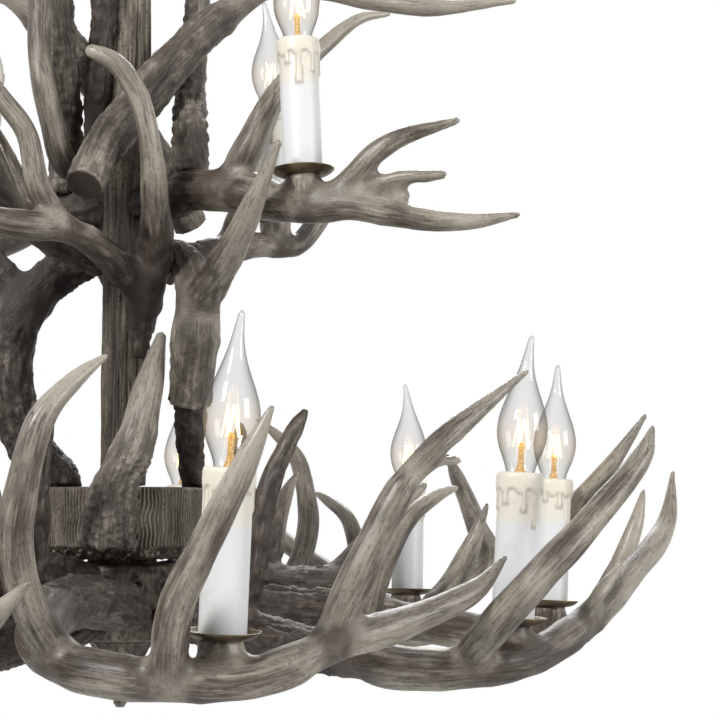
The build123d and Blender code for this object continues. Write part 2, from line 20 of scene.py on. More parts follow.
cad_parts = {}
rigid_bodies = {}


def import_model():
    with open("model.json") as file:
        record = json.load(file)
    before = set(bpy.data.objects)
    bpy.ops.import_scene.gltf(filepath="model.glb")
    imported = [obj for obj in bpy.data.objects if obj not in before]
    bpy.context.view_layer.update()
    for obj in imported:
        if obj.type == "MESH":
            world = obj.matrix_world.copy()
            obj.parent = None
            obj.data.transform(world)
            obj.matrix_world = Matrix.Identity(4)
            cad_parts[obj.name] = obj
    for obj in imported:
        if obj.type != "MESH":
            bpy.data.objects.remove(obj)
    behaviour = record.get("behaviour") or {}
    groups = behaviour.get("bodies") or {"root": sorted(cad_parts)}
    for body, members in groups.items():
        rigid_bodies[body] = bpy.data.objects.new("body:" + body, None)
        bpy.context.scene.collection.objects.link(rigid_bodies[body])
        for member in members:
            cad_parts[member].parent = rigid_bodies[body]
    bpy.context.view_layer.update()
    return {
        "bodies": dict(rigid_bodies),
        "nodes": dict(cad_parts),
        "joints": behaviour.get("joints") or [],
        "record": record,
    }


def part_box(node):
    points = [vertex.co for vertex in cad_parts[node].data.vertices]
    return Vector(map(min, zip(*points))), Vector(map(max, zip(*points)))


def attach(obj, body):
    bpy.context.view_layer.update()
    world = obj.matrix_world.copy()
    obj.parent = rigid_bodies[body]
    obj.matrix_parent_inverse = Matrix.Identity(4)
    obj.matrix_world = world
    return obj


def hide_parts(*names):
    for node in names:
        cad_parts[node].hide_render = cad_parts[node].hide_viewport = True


LOG = logging.getLogger("chandelier")
MM = 0.001

Array = np.ndarray
Mesh = bpy.types.Mesh
Node = bpy.types.Node
NodeTree = bpy.types.NodeTree
Socket = bpy.types.NodeSocket
Station = tuple[float, float, float, float]
Colour = tuple[float, float, float]
Waves = tuple[float, float, float]
Profile = list[tuple[float, float]]
SEED_SPREAD = (7.3, 3.1, 5.7)
LIMB_SHIFT = 0.731


# ---- small tools ----
def tone(red: int, green: int, blue: int) -> Colour:
    """Turn a display colour into the linear values that a shader takes.

    Args:
        red: Red from 0 to 255.
        green: Green from 0 to 255.
        blue: Blue from 0 to 255.

    Returns:
        The same colour in linear light.
    """
    return tuple(
        c / 12.92 if c <= 0.04045 else ((c + 0.055) / 1.055) ** 2.4
        for c in (red / 255, green / 255, blue / 255)
    )


def smoothstep(low: float, high: float, value: Array) -> Array:
    """Ease from 0 at low to 1 at high."""
    share = np.clip((value - low) / (high - low), 0.0, 1.0)
    return share * share * (3 - 2 * share)


def noise_at(points: Array, octaves: int = 1) -> Array:
    """Sample smooth noise at many points.

    Args:
        points: Positions as an n by 3 array, already scaled.
        octaves: How many layers of detail to add up.

    Returns:
        One value for each point, about -1 to 1.
    """
    if octaves == 1:
        sample: Callable = noise.noise
        return np.array([sample(p) for p in points.tolist()])
    return np.array([noise.fractal(p, 1.0, 2.0, octaves) for p in points.tolist()])


def new_object(name: str, mesh: Mesh) -> bpy.types.Object:
    """Link a mesh to the scene as an object at the origin.

    Args:
        name: Name of the object.
        mesh: Its mesh.

    Returns:
        The object.
    """
    made = bpy.data.objects.new(name, mesh)
    bpy.context.scene.collection.objects.link(made)
    return made


def mesh_from(
    name: str, points: Array, faces: Sequence[Sequence[int]], smooth: bool = True
) -> Mesh:
    """Make a mesh from points and faces.

    Args:
        name: Name of the mesh.
        points: Positions as an n by 3 array, in metres.
        faces: Vertex numbers of each face.
        smooth: Whether the faces are shaded smooth.

    Returns:
        The new mesh.
    """
    mesh = bpy.data.meshes.new(name)
    mesh.from_pydata([tuple(p) for p in np.asarray(points, float)], [], faces)
    mesh.update()
    if smooth:
        mesh.shade_smooth()
    return mesh


def coordinates(mesh: Mesh) -> Array:
    """Read every vertex position of a mesh.

    Args:
        mesh: The mesh.

    Returns:
        The positions as an n by 3 array.
    """
    flat = np.zeros(len(mesh.vertices) * 3)
    mesh.vertices.foreach_get("co", flat)
    return flat.reshape(-1, 3)


def set_coordinates(mesh: Mesh, points: Array) -> None:
    """Write every vertex position of a mesh."""
    mesh.vertices.foreach_set("co", points.ravel())
    mesh.update()


def normals(mesh: Mesh) -> Array:
    """Read every vertex normal of a mesh.

    Args:
        mesh: The mesh.

    Returns:
        The normals as an n by 3 array.
    """
    flat = np.zeros(len(mesh.vertices) * 3)
    mesh.vertex_normals.foreach_get("vector", flat)
    return flat.reshape(-1, 3)


def paint(mesh: Mesh, name: str, values: Array) -> None:
    """Store a number or a vector on each vertex of a mesh.

    Args:
        mesh: The mesh.
        name: What the values are called.
        values: One value for each vertex.
    """
    kind = "FLOAT" if values.ndim == 1 else "FLOAT_VECTOR"
    layer = mesh.attributes.new(name, kind, "POINT")
    layer.data.foreach_set("value" if values.ndim == 1 else "vector", values.ravel())


def bearings(count: int) -> Array:
    """Spread bearings evenly round a circle."""
    return np.arange(count) * 2 * math.pi / count


def on_cylinder(angle: Array, height: Array, radius: Array | float) -> Array:
    """Place points at a bearing, a height and a radius, as an n by 3 array."""
    return np.c_[radius * np.cos(angle), radius * np.sin(angle), height]


def grid_faces(rows: int, columns: int, looped: bool = False) -> list[list[int]]:
    """List the faces of a tube of rings, each ring closed on itself.

    Args:
        rows: Number of rings.
        columns: Points in each ring.
        looped: Whether the last ring joins the first. Otherwise two pole vertices after
            the rings close the first and the last ring.

    Returns:
        Lists of vertex numbers that face outwards when rings climb and turn anticlockwise.
    """
    faces = []
    for row in range(rows if looped else rows - 1):
        low, high = row * columns, (row + 1) % rows * columns
        for column in range(columns):
            after = (column + 1) % columns
            faces.append([low + column, low + after, high + after, high + column])
    if not looped:
        pole, top = rows * columns, (rows - 1) * columns
        faces += [[pole, (c + 1) % columns, c] for c in range(columns)]
        faces += [[pole + 1, top + c, top + (c + 1) % columns] for c in range(columns)]
    return faces


def lathe(name: str, profile: Profile, columns: int = 48, closed: bool = False) -> Mesh:
    """Turn a profile round the Z axis.

    Args:
        name: Name of the mesh.
        profile: Radius and height pairs, going up the outside.
        columns: Points round the axis.
        closed: Whether the profile is a loop, as the section of a ring is.

    Returns:
        The turned mesh, closed at its poles unless the profile is a loop.
    """
    angles = bearings(columns)
    parts = [on_cylinder(angles, np.full(columns, z), r) for r, z in profile]
    if not closed:
        parts.append(np.array([[0, 0, profile[0][1]], [0, 0, profile[-1][1]]]))
    return mesh_from(name, np.concatenate(parts), grid_faces(len(profile), columns, closed))


def moved(mesh: Mesh, place: Matrix) -> Mesh:
    """Move a mesh in place and return it."""
    mesh.transform(place)
    return mesh


def upright_to(axis: Vector) -> Matrix:
    """Turn upright things so that they stand along an axis."""
    return Vector((0, 0, 1)).rotation_difference(axis).to_matrix().to_4x4()


def joined(name: str, meshes: Iterable[Mesh]) -> Mesh:
    """Join copies into one mesh, keeping their painted values.

    Args:
        name: Name of the mesh.
        meshes: The meshes to join, at least one.

    Returns:
        The joined mesh.
    """
    objects = [new_object(f"{name}_part", mesh) for mesh in meshes]
    with bpy.context.temp_override(
        active_object=objects[0], selected_editable_objects=objects, object=objects[0]
    ):
        bpy.ops.object.join()
    mesh = objects[0].data
    bpy.data.objects.remove(objects[0])
    mesh.name = name
    return mesh


def evaluated(holder: bpy.types.Object) -> Mesh:
    """Apply the modifiers of an object and delete it.

    Args:
        holder: The object.

    Returns:
        Its plain mesh.
    """
    graph = bpy.context.evaluated_depsgraph_get()
    mesh = bpy.data.meshes.new_from_object(holder.evaluated_get(graph))
    holder.modifiers.clear()
    old = holder.data
    bpy.data.objects.remove(holder)
    if old.users == 0 and isinstance(old, Mesh):
        bpy.data.meshes.remove(old)
    return mesh


# ---- shader effects shared between finishes ----
class NodeBoard:
    """Places and wires the nodes of one material or group."""

    def __init__(self, tree: NodeTree) -> None:
        """Take the tree that gets the nodes."""
        self.tree = tree
        self.count = 0

    def add(self, kind: str, inputs: Optional[dict] = None, **settings: object) -> Node:
        """Add a node.

        Args:
            kind: Blender's name of the node type.
            inputs: Values or sockets for its inputs, by name or number.
            settings: Properties of the node.

        Returns:
            The new node.
        """
        made = self.tree.nodes.new(kind)
        made.location = (180 * (self.count % 10), -220 * (self.count // 10))
        self.count += 1
        for key, value in settings.items():
            setattr(made, key, value)
        for key, value in (inputs or {}).items():
            self.feed(made.inputs[key], value)
        return made

    def feed(self, socket: Socket, value: object) -> None:
        """Link a socket to another, or set its value.

        Args:
            socket: The input to feed.
            value: A socket, a number or a colour.
        """
        if isinstance(value, Socket):
            self.tree.links.new(value, socket)
        elif isinstance(value, tuple) and len(value) == 3 and socket.type == "RGBA":
            socket.default_value = (*value, 1.0)
        else:
            socket.default_value = value

    def maths(self, operation: str, *values: object, clamp: bool = False) -> Socket:
        """Add a Math node.

        Args:
            operation: Blender's name of the operation.
            values: Numbers or sockets for its inputs.
            clamp: Whether the result stays between 0 and 1.

        Returns:
            Its result.
        """
        made = self.add("ShaderNodeMath", operation=operation, use_clamp=clamp)
        for socket, value in zip(made.inputs, values):
            self.feed(socket, value)
        return made.outputs[0]

    def mixed(self, share: object, low: object, high: object) -> Socket:
        """Mix two colours.

        Args:
            share: How much of the second is in the mix.
            low: The first colour.
            high: The second colour.

        Returns:
            The mixed colour.
        """
        made = self.add("ShaderNodeMix", data_type="RGBA")
        for number, value in ((0, share), (6, low), (7, high)):
            self.feed(made.inputs[number], value)
        return made.outputs[2]

    def blended(self, share: object, low: object, high: object) -> Socket:
        """Blend two numbers and return the result."""
        made = self.add("ShaderNodeMix", {0: share, 2: low, 3: high}, data_type="FLOAT")
        return made.outputs[0]

    def shaders(self, share: object, first: Node, second: Node) -> Node:
        """Mix two shaders.

        Args:
            share: How much of the second is in the mix.
            first: The first shader.
            second: The second shader.

        Returns:
            The mix.
        """
        values = {0: share, 1: first.outputs[0], 2: second.outputs[0]}
        return self.add("ShaderNodeMixShader", values)

    def stretched_noise(self, place: Socket, scale: Waves, detail: float = 3.0) -> Socket:
        """Add noise that is scaled differently along each axis.

        Args:
            place: Where the noise is read.
            scale: Waves in a metre along each axis.
            detail: How many finer layers it has.

        Returns:
            The noise, about 0 to 1.
        """
        mapped = self.add("ShaderNodeMapping", {"Vector": place, "Scale": scale})
        made = self.add(
            "ShaderNodeTexNoise",
            {"Vector": mapped.outputs[0], "Scale": 1.0, "Detail": detail, "Roughness": 0.55},
        )
        return made.outputs["Fac"]

    def ramp(self, value: Socket, low: float, high: float) -> Socket:
        """Stretch values smoothly.

        Args:
            value: What is stretched.
            low: What becomes 0.
            high: What becomes 1.

        Returns:
            The stretched values.
        """
        made = self.add(
            "ShaderNodeMapRange",
            {"Value": value, "From Min": low, "From Max": high},
            interpolation_type="SMOOTHSTEP",
        )
        return made.outputs[0]


def effect_group(
    name: str, inputs: Sequence[tuple[str, str, object]], outputs: Sequence[str]
) -> tuple[NodeTree, NodeBoard, Node, Node]:
    """Start a shader node group.

    Args:
        name: Name of the group.
        inputs: Socket name, socket type and default of each input.
        outputs: Name of each output, all of them masks.

    Returns:
        The group, its board, and its input and output nodes.
    """
    tree = bpy.data.node_groups.new(name, "ShaderNodeTree")
    for label, kind, default in inputs:
        socket = tree.interface.new_socket(label, in_out="INPUT", socket_type=kind)
        if default is not None:
            socket.default_value = default
    for label in outputs:
        tree.interface.new_socket(label, in_out="OUTPUT", socket_type="NodeSocketFloat")
    board = NodeBoard(tree)
    return tree, board, board.add("NodeGroupInput"), board.add("NodeGroupOutput")


class Effects:
    """Shader node groups that several finishes place with their own values."""

    def __init__(self) -> None:
        """Build each group once."""
        self.grain = self._grain()
        self.patina = self._patina()

    @staticmethod
    def _grain() -> NodeTree:
        """Fibres, streaks, blotches, pits and cracks that follow a limb.

        Returns:
            A group with a mask for each of them, and a relief height.
        """
        names = ("Fibres", "Streaks", "Blotches", "Pits", "Cracks", "Height")
        tree, board, source, sink = effect_group(
            "limb_grain",
            [
                ("Place", "NodeSocketVector", None),
                ("Solid Place", "NodeSocketVector", None),
                ("Clear", "NodeSocketFloat", 1.0),
            ],
            names,
        )
        place, solid, clear = (source.outputs[n] for n in ("Place", "Solid Place", "Clear"))
        fibres = board.stretched_noise(place, (620.0, 620.0, 46.0), 3.0)
        streaks = board.stretched_noise(place, (120.0, 120.0, 10.0), 3.0)
        blotches = board.blended(
            clear,
            board.stretched_noise(solid, (32.0, 32.0, 32.0), 5.0),
            board.stretched_noise(place, (44.0, 44.0, 17.0), 5.0),
        )
        pits = board.blended(
            clear,
            board.stretched_noise(solid, (430.0, 430.0, 430.0), 3.0),
            board.stretched_noise(place, (520.0, 520.0, 330.0), 3.0),
        )
        split = board.stretched_noise(place, (230.0, 230.0, 11.0), 2.0)
        split = board.maths("ABSOLUTE", board.maths("SUBTRACT", split, 0.5))
        worn_off = board.ramp(blotches, 0.6, 0.46)
        cracks = board.maths("MULTIPLY", board.ramp(split, 0.024, 0.006), worn_off)
        relief = board.maths("MULTIPLY", fibres, 0.5)
        relief = board.maths("MULTIPLY_ADD", streaks, 0.6, relief)
        relief = board.maths("MULTIPLY_ADD", cracks, -0.8, relief)
        for label, value in zip(names, (fibres, streaks, blotches, pits, cracks, relief)):
            board.feed(sink.inputs[label], value)
        return tree

    @staticmethod
    def _patina() -> NodeTree:
        """Soft clouding and rubbed highlights on a skin.

        Returns:
            A group with a cloud mask and a fine speckle mask.
        """
        tree, board, source, sink = effect_group(
            "soft_patina", [("Place", "NodeSocketVector", None)], ("Clouds", "Speckle")
        )
        place = source.outputs["Place"]
        board.feed(sink.inputs["Clouds"], board.stretched_noise(place, (55.0, 55.0, 55.0), 4.0))
        board.feed(sink.inputs["Speckle"], board.stretched_noise(place, (700.0,) * 3, 2.0))
        return tree


# ---- finishes ----
class FinishBoard(NodeBoard):
    """The board of one material, with its Principled shader."""

    def __init__(self, name: str, effects: Optional[Effects] = None) -> None:
        """Start the material.

        Args:
            name: Name of the material.
            effects: The shared node groups, where the finish needs them.
        """
        self.material = bpy.data.materials.new(name)
        self.material.use_nodes = True
        self.material.node_tree.nodes.clear()
        super().__init__(self.material.node_tree)
        self.effects = effects
        self.shader = self.add("ShaderNodeBsdfPrincipled")
        self.sink = self.add("ShaderNodeOutputMaterial")
        self.feed(self.sink.inputs["Surface"], self.shader.outputs[0])

    def dress(self, label: str, value: object) -> None:
        """Feed an input of the Principled shader."""
        self.feed(self.shader.inputs[label], value)

    def painted(self, name: str, output: str = "Fac") -> Socket:
        """Read a value that is painted on the piece."""
        return self.add("ShaderNodeAttribute", attribute_name=name).outputs[output]

    def place(self) -> Socket:
        """Read the place on the piece."""
        return self.add("ShaderNodeTexCoord").outputs["Object"]

    def patina(self) -> tuple[Socket, Socket]:
        """Place the patina effect.

        Returns:
            Its clouds and its speckle.
        """
        made = self.add("ShaderNodeGroup", node_tree=self.effects.patina)
        self.feed(made.inputs["Place"], self.place())
        return made.outputs["Clouds"], made.outputs["Speckle"]

    def raise_by(self, height: Socket, strength: float, depth_mm: float) -> None:
        """Bump the surface.

        Args:
            height: The relief, as a mask.
            strength: How strongly it shows.
            depth_mm: How deep it is, in millimetres.
        """
        values = {"Height": height, "Strength": strength, "Distance": depth_mm * MM}
        self.dress("Normal", self.add("ShaderNodeBump", values).outputs[0])


@dataclass(frozen=True)
class AntlerFinish:
    """Cast antler: rubbed pale ridges and a grey-brown body under thin lacquer, with dark pits and
    cracks and painted shade in its hollows.

    Attributes:
        pale_share: How far the rubbed ridges spread.
        relief_mm: Depth of the fine grain.
        shade_and_mark_depth: How dark the pits, the cracks and the painted shade of the hollows
            are.
        streak_weight: Share of the streaks in the rubbing.
        fibre_weight: Share of the fine fibres in it.
        bark_weight: How much darker the barky places are: less rubbed, and near the column partly
            painted shade.
        polish: How pale the smooth tips are.
    """

    name: str
    ridge: Colour = tone(172, 163, 148)
    body: Colour = tone(80, 69, 60)
    # Recess colour: dark pits and cracks, and painted shade in the hollows.
    recess: Colour = tone(40, 32, 27)
    tip: Colour = tone(176, 168, 154)
    # Sawn colour: painted shade on the cut face that faces down.
    sawn: Colour = tone(66, 54, 46)
    pale_share: float = 0.0
    relief_mm: float = 0.6
    shade_and_mark_depth: float = 0.9
    streak_weight: float = 0.42
    fibre_weight: float = 0.42
    bark_weight: float = -0.3
    polish: float = 0.45

    def build(self, board: FinishBoard) -> None:
        """Wire the finish.

        Args:
            board: Board of its material.
        """
        bark, hollow, cut, clear = map(board.painted, ("bark", "hollow", "cut", "clear"))
        grain = board.add("ShaderNodeGroup", node_tree=board.effects.grain)
        board.feed(grain.inputs["Place"], board.painted("straight", "Vector"))
        board.feed(grain.inputs["Solid Place"], board.place())
        board.feed(grain.inputs["Clear"], clear)
        fibres, streaks, blotches, pits, cracks, height = grain.outputs[:6]
        streaks = board.maths("MULTIPLY", board.maths("SUBTRACT", streaks, 0.5), clear)
        fibres = board.maths("MULTIPLY", board.maths("SUBTRACT", fibres, 0.5), clear)
        worn = board.maths("MULTIPLY_ADD", streaks, self.streak_weight, blotches)
        worn = board.maths("MULTIPLY_ADD", fibres, self.fibre_weight, worn)
        # Barky places darken; near the column this is partly painted shade.
        worn = board.maths("MULTIPLY_ADD", bark, self.bark_weight, worn)
        worn = board.maths("ADD", worn, self.pale_share)
        base = board.mixed(board.ramp(worn, 0.29, 0.68), self.body, self.ridge)
        smooth = board.maths("MULTIPLY", board.ramp(bark, 0.16, 0.0), self.polish)
        base = board.mixed(smooth, base, self.tip)
        pored = board.maths("MULTIPLY_ADD", bark, 0.7, 0.3)
        shade = board.maths("MULTIPLY", board.ramp(pits, 0.53, 0.68), pored)
        shade = board.maths("MAXIMUM", shade, hollow)
        cracks = board.maths("MULTIPLY", board.maths("MULTIPLY", cracks, clear), 0.75)
        shade = board.maths("MAXIMUM", shade, cracks)
        # Pits and cracks take the recess colour, and so do the hollows as painted shade.
        base = board.mixed(board.maths("MULTIPLY", shade, self.shade_and_mark_depth), base, self.recess)
        # The sawn end takes the sawn colour as painted shade.
        board.dress("Base Color", board.mixed(cut, base, self.sawn))
        board.dress("Roughness", board.maths("MULTIPLY_ADD", bark, 0.26, 0.32))
        board.dress("Specular IOR Level", 0.45)
        raised = board.maths("MULTIPLY", height, board.maths("MULTIPLY_ADD", bark, 0.6, 0.35))
        raised = board.maths("MULTIPLY", raised, clear)
        dents = board.maths("MULTIPLY", board.maths("MULTIPLY", pits, bark), -1.1)
        board.raise_by(board.maths("ADD", raised, dents), 0.9, self.relief_mm)


@dataclass(frozen=True)
class MetalFinish:
    """Painted or plated metal with a clouded skin."""

    name: str
    base: Colour
    cloud: Colour
    metallic: float
    rough: float
    relief_mm: float = 0.15

    def build(self, board: FinishBoard) -> None:
        """Wire the finish.

        Args:
            board: Board of its material.
        """
        clouds, speckle = board.patina()
        share = board.ramp(clouds, 0.35, 0.7)
        board.dress("Base Color", board.mixed(share, self.base, self.cloud))
        board.dress("Roughness", board.maths("MULTIPLY_ADD", clouds, 0.25, self.rough - 0.12))
        board.dress("Metallic", self.metallic)
        board.raise_by(speckle, 0.4, self.relief_mm)


@dataclass(frozen=True)
class WaxFinish:
    """The candle sleeve: cool white tube with a creamier waxed top, painted shade along the drip
    outlines and soiled clouds.
    """

    name: str = "candle_wax"
    tube: Colour = tone(232, 233, 233)
    wax: Colour = tone(236, 229, 213)
    seam: Colour = tone(176, 167, 150)
    relief_mm: float = 0.1

    def build(self, board: FinishBoard) -> None:
        """Wire the finish.

        Args:
            board: Board of its material.
        """
        clouds, speckle = board.patina()
        base = board.mixed(board.ramp(board.painted("wax"), 0.1, 0.9), self.tube, self.wax)
        # Painted shade along the outline of each drip.
        edge = board.maths("MULTIPLY", board.painted("outline"), 0.7)
        base = board.mixed(edge, base, self.seam)
        soiled = board.maths("MULTIPLY", board.ramp(clouds, 0.55, 0.8), 0.25)
        board.dress("Base Color", board.mixed(soiled, base, self.seam))
        board.dress("Roughness", board.maths("MULTIPLY_ADD", clouds, 0.12, 0.32))
        board.dress("Subsurface Weight", 0.12)
        board.dress("Subsurface Radius", (0.004, 0.003, 0.002))
        board.raise_by(speckle, 0.2, self.relief_mm)


@dataclass(frozen=True)
class GlassFinish:
    """Clear blown glass, thin enough to see straight through, with a painted reflection that greys
    it towards its outline and a painted warm glow round the filament.
    """

    name: str = "clear_glass"
    clear: Colour = (0.93, 0.93, 0.93)
    # Rim tint: painted reflection of the darker surroundings.
    rim: Colour = (0.15, 0.145, 0.145)
    glow: Colour = tone(255, 214, 140)
    # Share of the painted glow on the glass.
    painted_glow: float = 0.1

    def build(self, board: FinishBoard) -> None:
        """Wire the finish.

        Args:
            board: Board of its material.
        """
        clouds, _ = board.patina()
        facing = board.add("ShaderNodeLayerWeight", {"Blend": 0.5}).outputs["Facing"]
        edge = board.maths("POWER", facing, 1.8)
        clouds = board.maths("MULTIPLY", clouds, 0.04)
        # Painted reflection: the glass greys towards its outline.
        tint = board.mixed(board.maths("ADD", edge, clouds, clamp=True), self.clear, self.rim)
        through = board.add("ShaderNodeBsdfTransparent", {"Color": tint})
        board.dress("Base Color", (0.8, 0.8, 0.8))
        board.dress("Metallic", 1.0)
        board.dress("Roughness", 0.04)
        share = board.maths("MULTIPLY_ADD", board.maths("POWER", facing, 4.0), 0.3, 0.055)
        glass = board.shaders(share, through, board.shader)
        # Painted glow: the glass gives off warm light round the filament.
        painted_glow = board.add("ShaderNodeEmission", {"Color": self.glow, "Strength": 0.9})
        share = board.maths("MULTIPLY", board.painted("near"), self.painted_glow)
        warm = board.shaders(share, glass, painted_glow)
        board.feed(board.sink.inputs["Surface"], warm.outputs[0])


@dataclass(frozen=True)
class GlowFinish:
    """The lit filament and its gilded stem."""

    name: str = "filament_glow"
    glow: Colour = tone(255, 216, 144)
    stem: Colour = tone(196, 140, 62)
    strength: float = 4.5

    def build(self, board: FinishBoard) -> None:
        """Wire the finish.

        Args:
            board: Board of its material.
        """
        lit = board.painted("lit")
        _, speckle = board.patina()
        board.dress("Base Color", board.mixed(board.ramp(speckle, 0.3, 0.7), self.stem, self.glow))
        board.dress("Roughness", board.maths("MULTIPLY_ADD", lit, 0.2, 0.35))
        board.dress("Emission Color", board.mixed(lit, (0.0, 0.0, 0.0), self.glow))
        board.dress("Emission Strength", self.strength)


@dataclass
class FinishSet:
    """Every material of the light, built once."""

    effects: Effects = field(default_factory=Effects)
    made: dict[str, bpy.types.Material] = field(default_factory=dict)

    def __post_init__(self) -> None:
        """Build the materials."""
        for finish in (
            AntlerFinish("pale_antler", pale_share=0.02),
            AntlerFinish(
                "barky_antler", tone(156, 145, 131), tone(76, 66, 58), tone(34, 28, 24),
                pale_share=0.08, relief_mm=1.2,
            ),
            AntlerFinish(
                "column_bark", tone(158, 149, 132), tone(98, 88, 75), tone(30, 24, 21),
                pale_share=0.2, relief_mm=1.0, shade_and_mark_depth=0.88,
            ),
            AntlerFinish(
                "grey_bark", tone(158, 149, 136), tone(90, 80, 71), tone(38, 31, 27),
                pale_share=0.28, relief_mm=1.2, shade_and_mark_depth=0.6,
            ),
            MetalFinish("dark_bronze", tone(52, 40, 31), tone(84, 66, 49), 0.75, 0.42),
            MetalFinish("pan_bronze", tone(84, 72, 55), tone(124, 110, 84), 0.8, 0.38),
            MetalFinish("plated_steel", tone(160, 160, 156), tone(130, 130, 128), 0.95, 0.34),
            MetalFinish("holder_white", tone(228, 226, 218), tone(206, 202, 190), 0.0, 0.45),
            MetalFinish("cap_brass", tone(196, 166, 104), tone(168, 136, 80), 0.95, 0.3),
            WaxFinish(),
            GlassFinish(),
            GlowFinish(),
        ):
            board = FinishBoard(finish.name, self.effects)
            finish.build(board)
            self.made[finish.name] = board.material

    def __getitem__(self, name: str) -> bpy.types.Material:
        """Return a material by name."""
        return self.made[name]


class Slot(Enum):
    """Material slots of the record; the candle sets list two of them, but no piece takes its
    finish from a slot.
    """

    ANTLER = "antler_resin"
    BARK = "bark_resin"
    GLASS = "bulb_glass"
    WAX = "candle_white"
    HOLDER = "holder_plastic"
    PAN = "pan_bronze"
    STEEL = "plated_steel"
    BRONZE = "dark_bronze"


def finish_piece(
    name: str,
    mesh: Mesh,
    material: bpy.types.Material,
    body: str,
    replaces: Sequence[str] = (),
) -> bpy.types.Object:
    """Turn a mesh into a piece of the light.

    Args:
        name: Name of the piece.
        mesh: Its mesh, already in place.
        material: Its finish.
        body: The body that it rides on.
        replaces: Solids that it stands for.

    Returns:
        The finished piece.
    """
    mesh.materials.clear()
    mesh.materials.append(material)
    piece = new_object(name, mesh)
    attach(piece, body)
    if replaces:
        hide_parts(*replaces)
    LOG.info("%s: %d faces", name, len(mesh.polygons))
    return piece


# ---- the layout, read from the frame ----
@dataclass
class Layout:
    """Where things are, in metres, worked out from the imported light."""

    hub_radius: float
    hub_middle: float
    column_radius: float
    ring_radius: float
    seat_height: float
    upper_radius: float
    upper_seat: float
    far_seat: float
    seats: list[Matrix]
    holder_height: float = 92.3 * MM

    @classmethod
    def from_frame(cls, frame: dict) -> "Layout":
        """Work the layout out from the joints and boxes of the frame.


        Returns:
            The layout.
        """
        hub_low, hub_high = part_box("hub")
        column_low, column_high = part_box("column_sleeve")
        seats = []
        for number in range(1, 14):
            joint = next(j for j in frame["joints"] if j["name"] == f"bulb_{number}_unscrew")
            axis = Vector(joint["axis"]).normalized()
            place = Vector(joint["pos_m"]) - axis * cls.holder_height
            seats.append(Matrix.Translation(place) @ upright_to(axis))
        lower, broad, rising = (seats[i].translation for i in (0, 9, 10))
        return cls(
            hub_radius=(hub_high.x - hub_low.x) / 2,
            hub_middle=lower.z + 6.0 * MM,
            column_radius=(column_high.x - column_low.x) / 2,
            ring_radius=math.hypot(lower.x, lower.y),
            seat_height=lower.z,
            upper_radius=math.hypot(broad.x, broad.y),
            upper_seat=broad.z,
            far_seat=rising.z,
            seats=seats,
        )

    def from_hub(self, *stations: Station) -> list[Station]:
        """Stations in millimetres, out from the hub's face and up from its middle."""
        return self._placed(self.hub_radius, self.hub_middle, stations)

    def from_seat(self, *stations: Station) -> list[Station]:
        """Stations in millimetres, out and up from a lower seat."""
        return self._placed(self.ring_radius, self.seat_height, stations)

    def from_column(self, rise: float, *stations: Station) -> list[Station]:
        """Stations in millimetres, out from the column's face at a height over the hub."""
        return self._placed(self.column_radius, self.hub_middle + rise * MM, stations)

    def from_upper(self, seat: float, *stations: Station) -> list[Station]:
        """Stations in millimetres, out and up from an upper seat at the given height."""
        return self._placed(self.upper_radius, seat, stations)

    def round_column(self, *stations: Station) -> list[Station]:
        """Place stations that are given round the column.

        Args:
            stations: Stand-off from the column, bearing in degrees, height over the hub's
                middle and half thickness, in millimetres.

        Returns:
            The stations in metres.
        """
        placed = []
        for off, bearing, rise, girth in stations:
            reach = self.column_radius + off * MM
            turn = math.radians(bearing)
            height = self.hub_middle + rise * MM
            placed.append((reach * math.cos(turn), reach * math.sin(turn), height, girth * MM))
        return placed

    @staticmethod
    def _placed(radius: float, height: float, stations: Sequence[Station]) -> list[Station]:
        """Move stations out by a radius and up by a height."""
        return [(radius + x * MM, y * MM, height + z * MM, r * MM) for x, y, z, r in stations]


# ---- antlers ----
class LimbKind(Enum):
    """How a limb starts."""

    BEAM = "beam"
    TINE = "tine"
    SAWN = "sawn"
    PAD = "pad"


@dataclass
class Limb:
    """One limb of an antler: stations of x, y, z and half thickness in metres."""

    stations: list[Station]
    kind: LimbKind = LimbKind.TINE
    step: float = 5.0 * MM

    def sampled(self) -> tuple[Array, Array]:
        """Smooth the centre line.

        Returns:
            Points along it, and the half thickness at each.
        """
        knots = np.array(self.stations, float)
        if self.kind is LimbKind.PAD:
            return knots[:, :3], knots[:, 3]
        padded = np.vstack([2 * knots[0] - knots[1], knots, 2 * knots[-1] - knots[-2]])
        pieces = []
        for index in range(len(knots) - 1):
            a, b, c, d = padded[index : index + 4]
            length = np.linalg.norm((c - b)[:3])
            shares = np.linspace(0, 1, max(2, int(length / self.step)), endpoint=False)[:, None]
            pieces.append(
                0.5
                * (
                    2 * b
                    + (c - a) * shares
                    + (2 * a - 5 * b + 4 * c - d) * shares**2
                    + (3 * b - a - 3 * c + d) * shares**3
                )
            )
        line = np.vstack([*pieces, knots[-1:]])
        girth = np.maximum(line[:, 3], 1.3 * MM)
        if self.kind is LimbKind.TINE:
            walked = np.r_[0, np.cumsum(np.linalg.norm(np.diff(line[:, :3], axis=0), axis=1))]
            girth = girth * (1 + 0.08 * np.exp(-walked / (14 * MM)))
        return line[:, :3], girth


